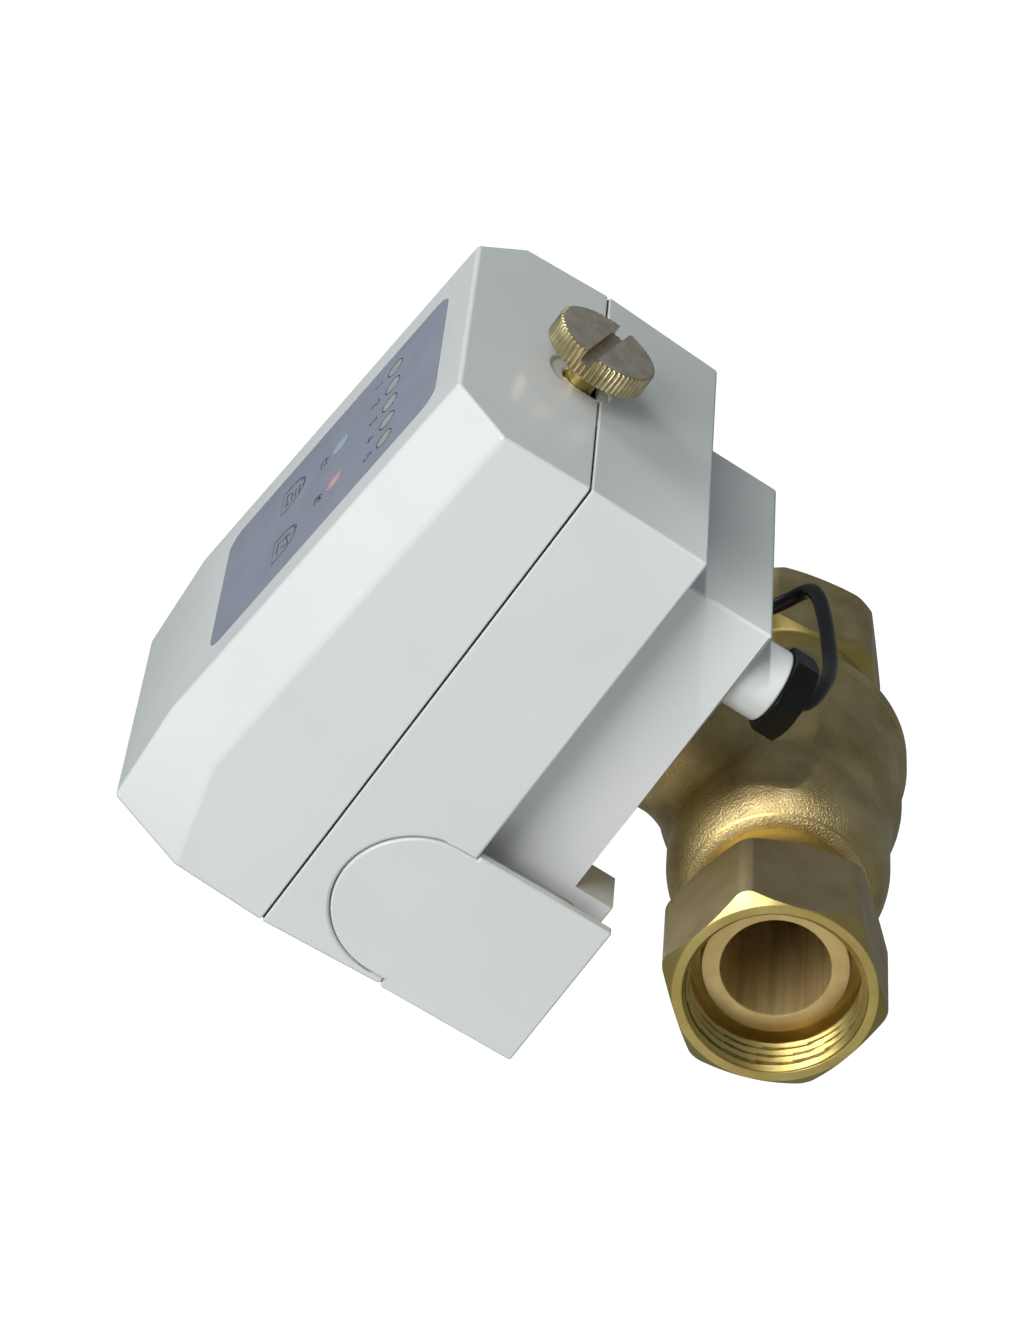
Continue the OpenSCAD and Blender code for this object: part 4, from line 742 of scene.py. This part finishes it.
# Cast epoxy of a diode: milky and clear at the edges.
led_epoxy, tree, surface = material("cast_epoxy", {"Roughness": 0.12, "IOR": 1.55})
spot = add(tree, "TexCoord").outputs["Object"]
cloud = add(tree, "TexNoise", {"Vector": spot, "Scale": 1000 / 2, "Detail": 2})
add(tree, "ValToRGB", {"Fac": cloud.outputs["Fac"]}, {"Color": surface.inputs["Base Color"]},
    stops=((0.35, "#e4e4de"), (0.65, "#f6f6f2")))
dress(led_epoxy, "indicator_leds")

# Glass-filled nylon: black and dull, with short light fibres just under the skin.
black_nylon, tree, surface = material("glass_filled_nylon_black", {"IOR": 1.45, "Specular IOR Level": 0.3})
spot = add(tree, "TexCoord").outputs["Object"]
fibre = add(tree, "TexNoise", {"Vector": spot, "Scale": 1000 / 0.6, "Detail": 4})
add(tree, "ValToRGB", {"Fac": fibre.outputs["Fac"]}, {"Color": surface.inputs["Base Color"]},
    stops=((0.35, "#060607"), (0.75, "#0f0f11")))
add(tree, "MapRange", {"Value": fibre.outputs["Fac"], "To Min": 0.36, "To Max": 0.5},
    {"Result": surface.inputs["Roughness"]})
add(tree, "Bump", {"Height": fibre.outputs["Fac"], "Strength": 0.2, "Distance": 0.02 * MM},
    {"Normal": surface.inputs["Normal"]})
dress(black_nylon, "key_switches", "limit_switches", "battery_tray")

# Cells
# Four cells side by side in the tray, in plain shrink sleeves, between nickel contact plates.

# Shrink sleeve: green and glossy, drawn tight, with faint rings round the cell.
cell_sleeve, tree, surface = material("shrink_sleeve_green", {"Roughness": 0.25, "IOR": 1.54})
spot = add(tree, "TexCoord").outputs["Object"]
cloud = add(tree, "TexNoise", {"Vector": spot, "Scale": 1000 / 6, "Detail": 3})
add(tree, "ValToRGB", {"Fac": cloud.outputs["Fac"]}, {"Color": surface.inputs["Base Color"]},
    stops=((0.35, "#33704a"), (0.65, "#3f8457")))
dress(cell_sleeve, "battery_cells")

# Nickel: a warm pale grey with rolling lines.
rolled_nickel, tree, surface = material("rolled_nickel", {"Metallic": 1.0})
spot = add(tree, "TexCoord").outputs["Object"]
cloud = add(tree, "TexNoise", {"Vector": spot, "Scale": 1000 / 1.5, "Detail": 4})
add(tree, "ValToRGB", {"Fac": cloud.outputs["Fac"]}, {"Color": surface.inputs["Base Color"]},
    stops=((0.3, "#a8a49b"), (0.7, "#c6c2b8")))
add(tree, "MapRange", {"Value": cloud.outputs["Fac"], "To Min": 0.34, "To Max": 0.22},
    {"Result": surface.inputs["Roughness"]})
dress(rolled_nickel, "battery_contacts")

# Thumbscrew
# Screw turned from brass bar, with a straight knurl round its head and a slot for a coin. It holds the cover
# shut, and its face has gone brown from handling.
head_r = 10.05
head_front = -61.9
head_back = -57.2
screw_z = 80.2
slot_w = 2.4
slot_deep = 2
slot_turn = math.radians(19.3)
ribs = 60
rib_deep = 0.42
shank_r = 3.0
screw_end = -44.2
screw_outline = [
    (0.02, head_front), (9.7, head_front), (9.85, head_front + 0.05), (head_r, head_front + 0.3),
    (head_r, head_back - 0.4), (9.8, head_back - 0.1), (9.4, head_back),
    (shank_r + 0.3, head_back), (shank_r, head_back + 0.3), (shank_r, screw_end - 0.5),
    (shank_r - 0.5, screw_end), (0.02, screw_end)]


def knurl(radius, x, angle):
    """Round ribs of the straight knurl, fading out towards the shank."""
    if radius < 9.35:
        return radius
    turn = (angle * ribs / (2 * math.pi)) % 1
    return radius - rib_deep * abs(math.sin(math.pi * turn)) ** 3 * min(1, (radius - 9.3) / 0.5)


# Tarnished brass: brown-grey from handling, matt, with a little gold at the rim.
brown_brass, tree, surface = material("tarnished_brass", {"Metallic": 0.75})
spot = add(tree, "TexCoord").outputs["Object"]
cloud = add(tree, "TexNoise", {"Vector": spot, "Scale": 1000 / 3, "Detail": 6})
add(tree, "ValToRGB", {"Fac": cloud.outputs["Fac"]}, {"Color": surface.inputs["Base Color"]},
    stops=((0.3, "#b0a597"), (0.6, "#c8beaf"), (0.8, "#d6ccbc")))
add(tree, "MapRange", {"Value": cloud.outputs["Fac"], "To Min": 0.58, "To Max": 0.48},
    {"Result": surface.inputs["Roughness"]})
pits = add(tree, "TexNoise", {"Vector": spot, "Scale": 1000 / 0.4, "Detail": 3})
add(tree, "Bump", {"Height": pits.outputs["Fac"], "Strength": 0.2, "Distance": 0.02 * MM},
    {"Normal": surface.inputs["Normal"]})

# Aged brass of the knurl: olive, with the gloss that fingers leave.
aged_brass, tree, surface = material("aged_brass", {"Metallic": 1.0})
spot = add(tree, "TexCoord").outputs["Object"]
cloud = add(tree, "TexNoise", {"Vector": spot, "Scale": 1000 / 2, "Detail": 5})
add(tree, "ValToRGB", {"Fac": cloud.outputs["Fac"]}, {"Color": surface.inputs["Base Color"]},
    stops=((0.3, "#a89b77"), (0.6, "#bfb38d"), (0.8, "#cfc39f")))
add(tree, "MapRange", {"Value": cloud.outputs["Fac"], "To Min": 0.38, "To Max": 0.26},
    {"Result": surface.inputs["Roughness"]})

whole = bmesh.new()
aside = Vector((0, -math.sin(slot_turn), math.cos(slot_turn)))
for side in (-1, 0, 1):
    part = turned(screw_outline, ribs * 8, knurl)
    if side:
        cut(part, aside * side * slot_w / 2, -aside * side)
    else:
        cut(part, aside * slot_w / 2, aside)
        cut(part, -aside * slot_w / 2, -aside)
        cut(part, (head_front + slot_deep, 0, 0), Vector((-1, 0, 0)))
    loose = bpy.data.meshes.new("screw_part")
    part.to_mesh(loose)
    part.free()
    whole.from_mesh(loose)
    bpy.data.meshes.remove(loose)
whole.transform(Matrix.Translation((0, 0, screw_z * MM)) @ Matrix.Rotation(math.radians(90), 4, "Z"))
whole.normal_update()
across_slot = Vector((math.sin(slot_turn), 0, math.cos(slot_turn)))
# The face and the slot are brown, the knurl is aged and the shank is clear brass.
for face in whole.faces:
    middle = face.calc_center_median() / MM - Vector((0, 0, screw_z))
    in_slot = abs(middle.dot(across_slot)) < slot_w / 2 + 0.01 and abs(face.normal.dot(across_slot)) > 0.9
    if middle.y < head_front + slot_deep + 0.05 and (abs(face.normal.y) > 0.9 or in_slot):
        face.material_index = 1
    elif middle.y < head_back + 0.05:
        face.material_index = 2
piece("knurled_thumbscrew", whole, [turned_brass, brown_brass, aged_brass], "thumbscrew_spin", "plated_brass",
      "thumbscrew")
dress(turned_brass, "thumbscrew_washer")

# Side clip
# Moulded ABS clip with a round-topped tongue in each side of the base and a plate that hangs down beside
# the gear case. It is pushed on from the hinge end.
bm = rounded("side_bracket", [(0.5, 50, lambda at: True)])
piece("moulded_side_clip", bm, [white_abs], "valve", "white_abs", "side_bracket")

# Gland nut
# Hexagon nut moulded in black nylon, screwed into the boss of the gear case. It squeezes a rubber seal
# round the lead.
gland_at = (-20, -30.5)
gland_af = 15
gland_turn = 12
lead_hole_r = 1.85
gland_outline = [
    (lead_hole_r, 17.4), (6.9, 17.4), (7.5, 17.55), (8.66, 18.1), (8.66, 22.2), (8.3, 22.5), (4.6, 22.5),
    (4.6, 25.3), (4.4, 25.5), (lead_hole_r, 25.5)]
bm = turned(gland_outline, 96)
flats(bm, gland_af, 0)
bm.transform(Matrix.Translation((gland_at[0] * MM, gland_at[1] * MM, 0))
             @ Matrix.Rotation(math.radians(gland_turn), 4, "Z")
             @ Matrix.Rotation(math.radians(-90), 4, "Y"))
piece("hexagon_gland_nut", bm, [black_nylon], "valve", "black_plastic", "cable_gland_nut")

# Floor and light
# Pale studio floor well below the valve, under an even sky. A large soft lamp stands over the union side,
# smaller ones over the thumbscrew's end and above it, and a pale table throws light back from below.
floor_mesh = bmesh.new()
bmesh.ops.create_grid(floor_mesh, x_segments=8, y_segments=8, size=60)
floor_mesh.transform(Matrix.Translation((0, 0, -1.2)))
# Painted boards: flat white, lit evenly enough to give no edge.
studio_white, tree, surface = material("painted_floor", {
    "Roughness": 0.8, "Base Color": srgb("#fbfbfb"), "Emission Color": srgb("#ffffff"),
    "Emission Strength": 0.9})
ground = bpy.data.meshes.new("studio_floor")
floor_mesh.to_mesh(ground)
floor_mesh.free()
ground.materials.append(studio_white)
floor = bpy.data.objects.new("studio_floor", ground)
floor.visible_diffuse = False
floor.visible_glossy = False
bpy.context.scene.collection.objects.link(floor)
sky = bpy.data.worlds.new("studio_sky")
sky.use_nodes = True
sky.node_tree.nodes["Background"].inputs["Color"].default_value = srgb("#f1fdff")
sky.node_tree.nodes["Background"].inputs["Strength"].default_value = 0.19
bpy.context.scene.world = sky
lamps_aim = Vector((0, 0, 50)) * MM
for name, at, size, watts in (
        ("soft_key", (-1.05, -0.37, 1.12), 0.9, 15.5),
        ("soft_end", (-0.52, -1.1, 0.95), 0.8, 4.6),
        ("soft_top", (0.52, -0.67, 1.35), 0.5, 5),
        ("table_bounce", (-0.96, 0.66, -0.23), 2.6, 8)):
    lamp = bpy.data.lights.new(name, "AREA")
    lamp.size = size
    lamp.energy = watts
    held = bpy.data.objects.new(name, lamp)
    held.location = at
    held.rotation_euler = (lamps_aim - Vector(at)).to_track_quat("-Z", "Y").to_euler()
    bpy.context.scene.collection.objects.link(held)

# A narrow lamp, 1.4 m away, picks out the grain on the shoulder of the casting.
snoot = bpy.data.lights.new("shoulder_snoot", "SPOT")
snoot.energy = 28
snoot.spot_size = math.radians(2.4)
snoot.spot_blend = 1
snoot.shadow_soft_size = 0.015
shoulder = Vector((-26, -14, 11)) * MM
held = bpy.data.objects.new("shoulder_snoot", snoot)
held.location = shoulder + Vector((-0.2, -0.83, 0.52)) * 1.4
held.rotation_euler = (shoulder - held.location).to_track_quat("-Z", "Y").to_euler()
bpy.context.scene.collection.objects.link(held)
bpy.context.scene.view_settings.view_transform = "Standard"
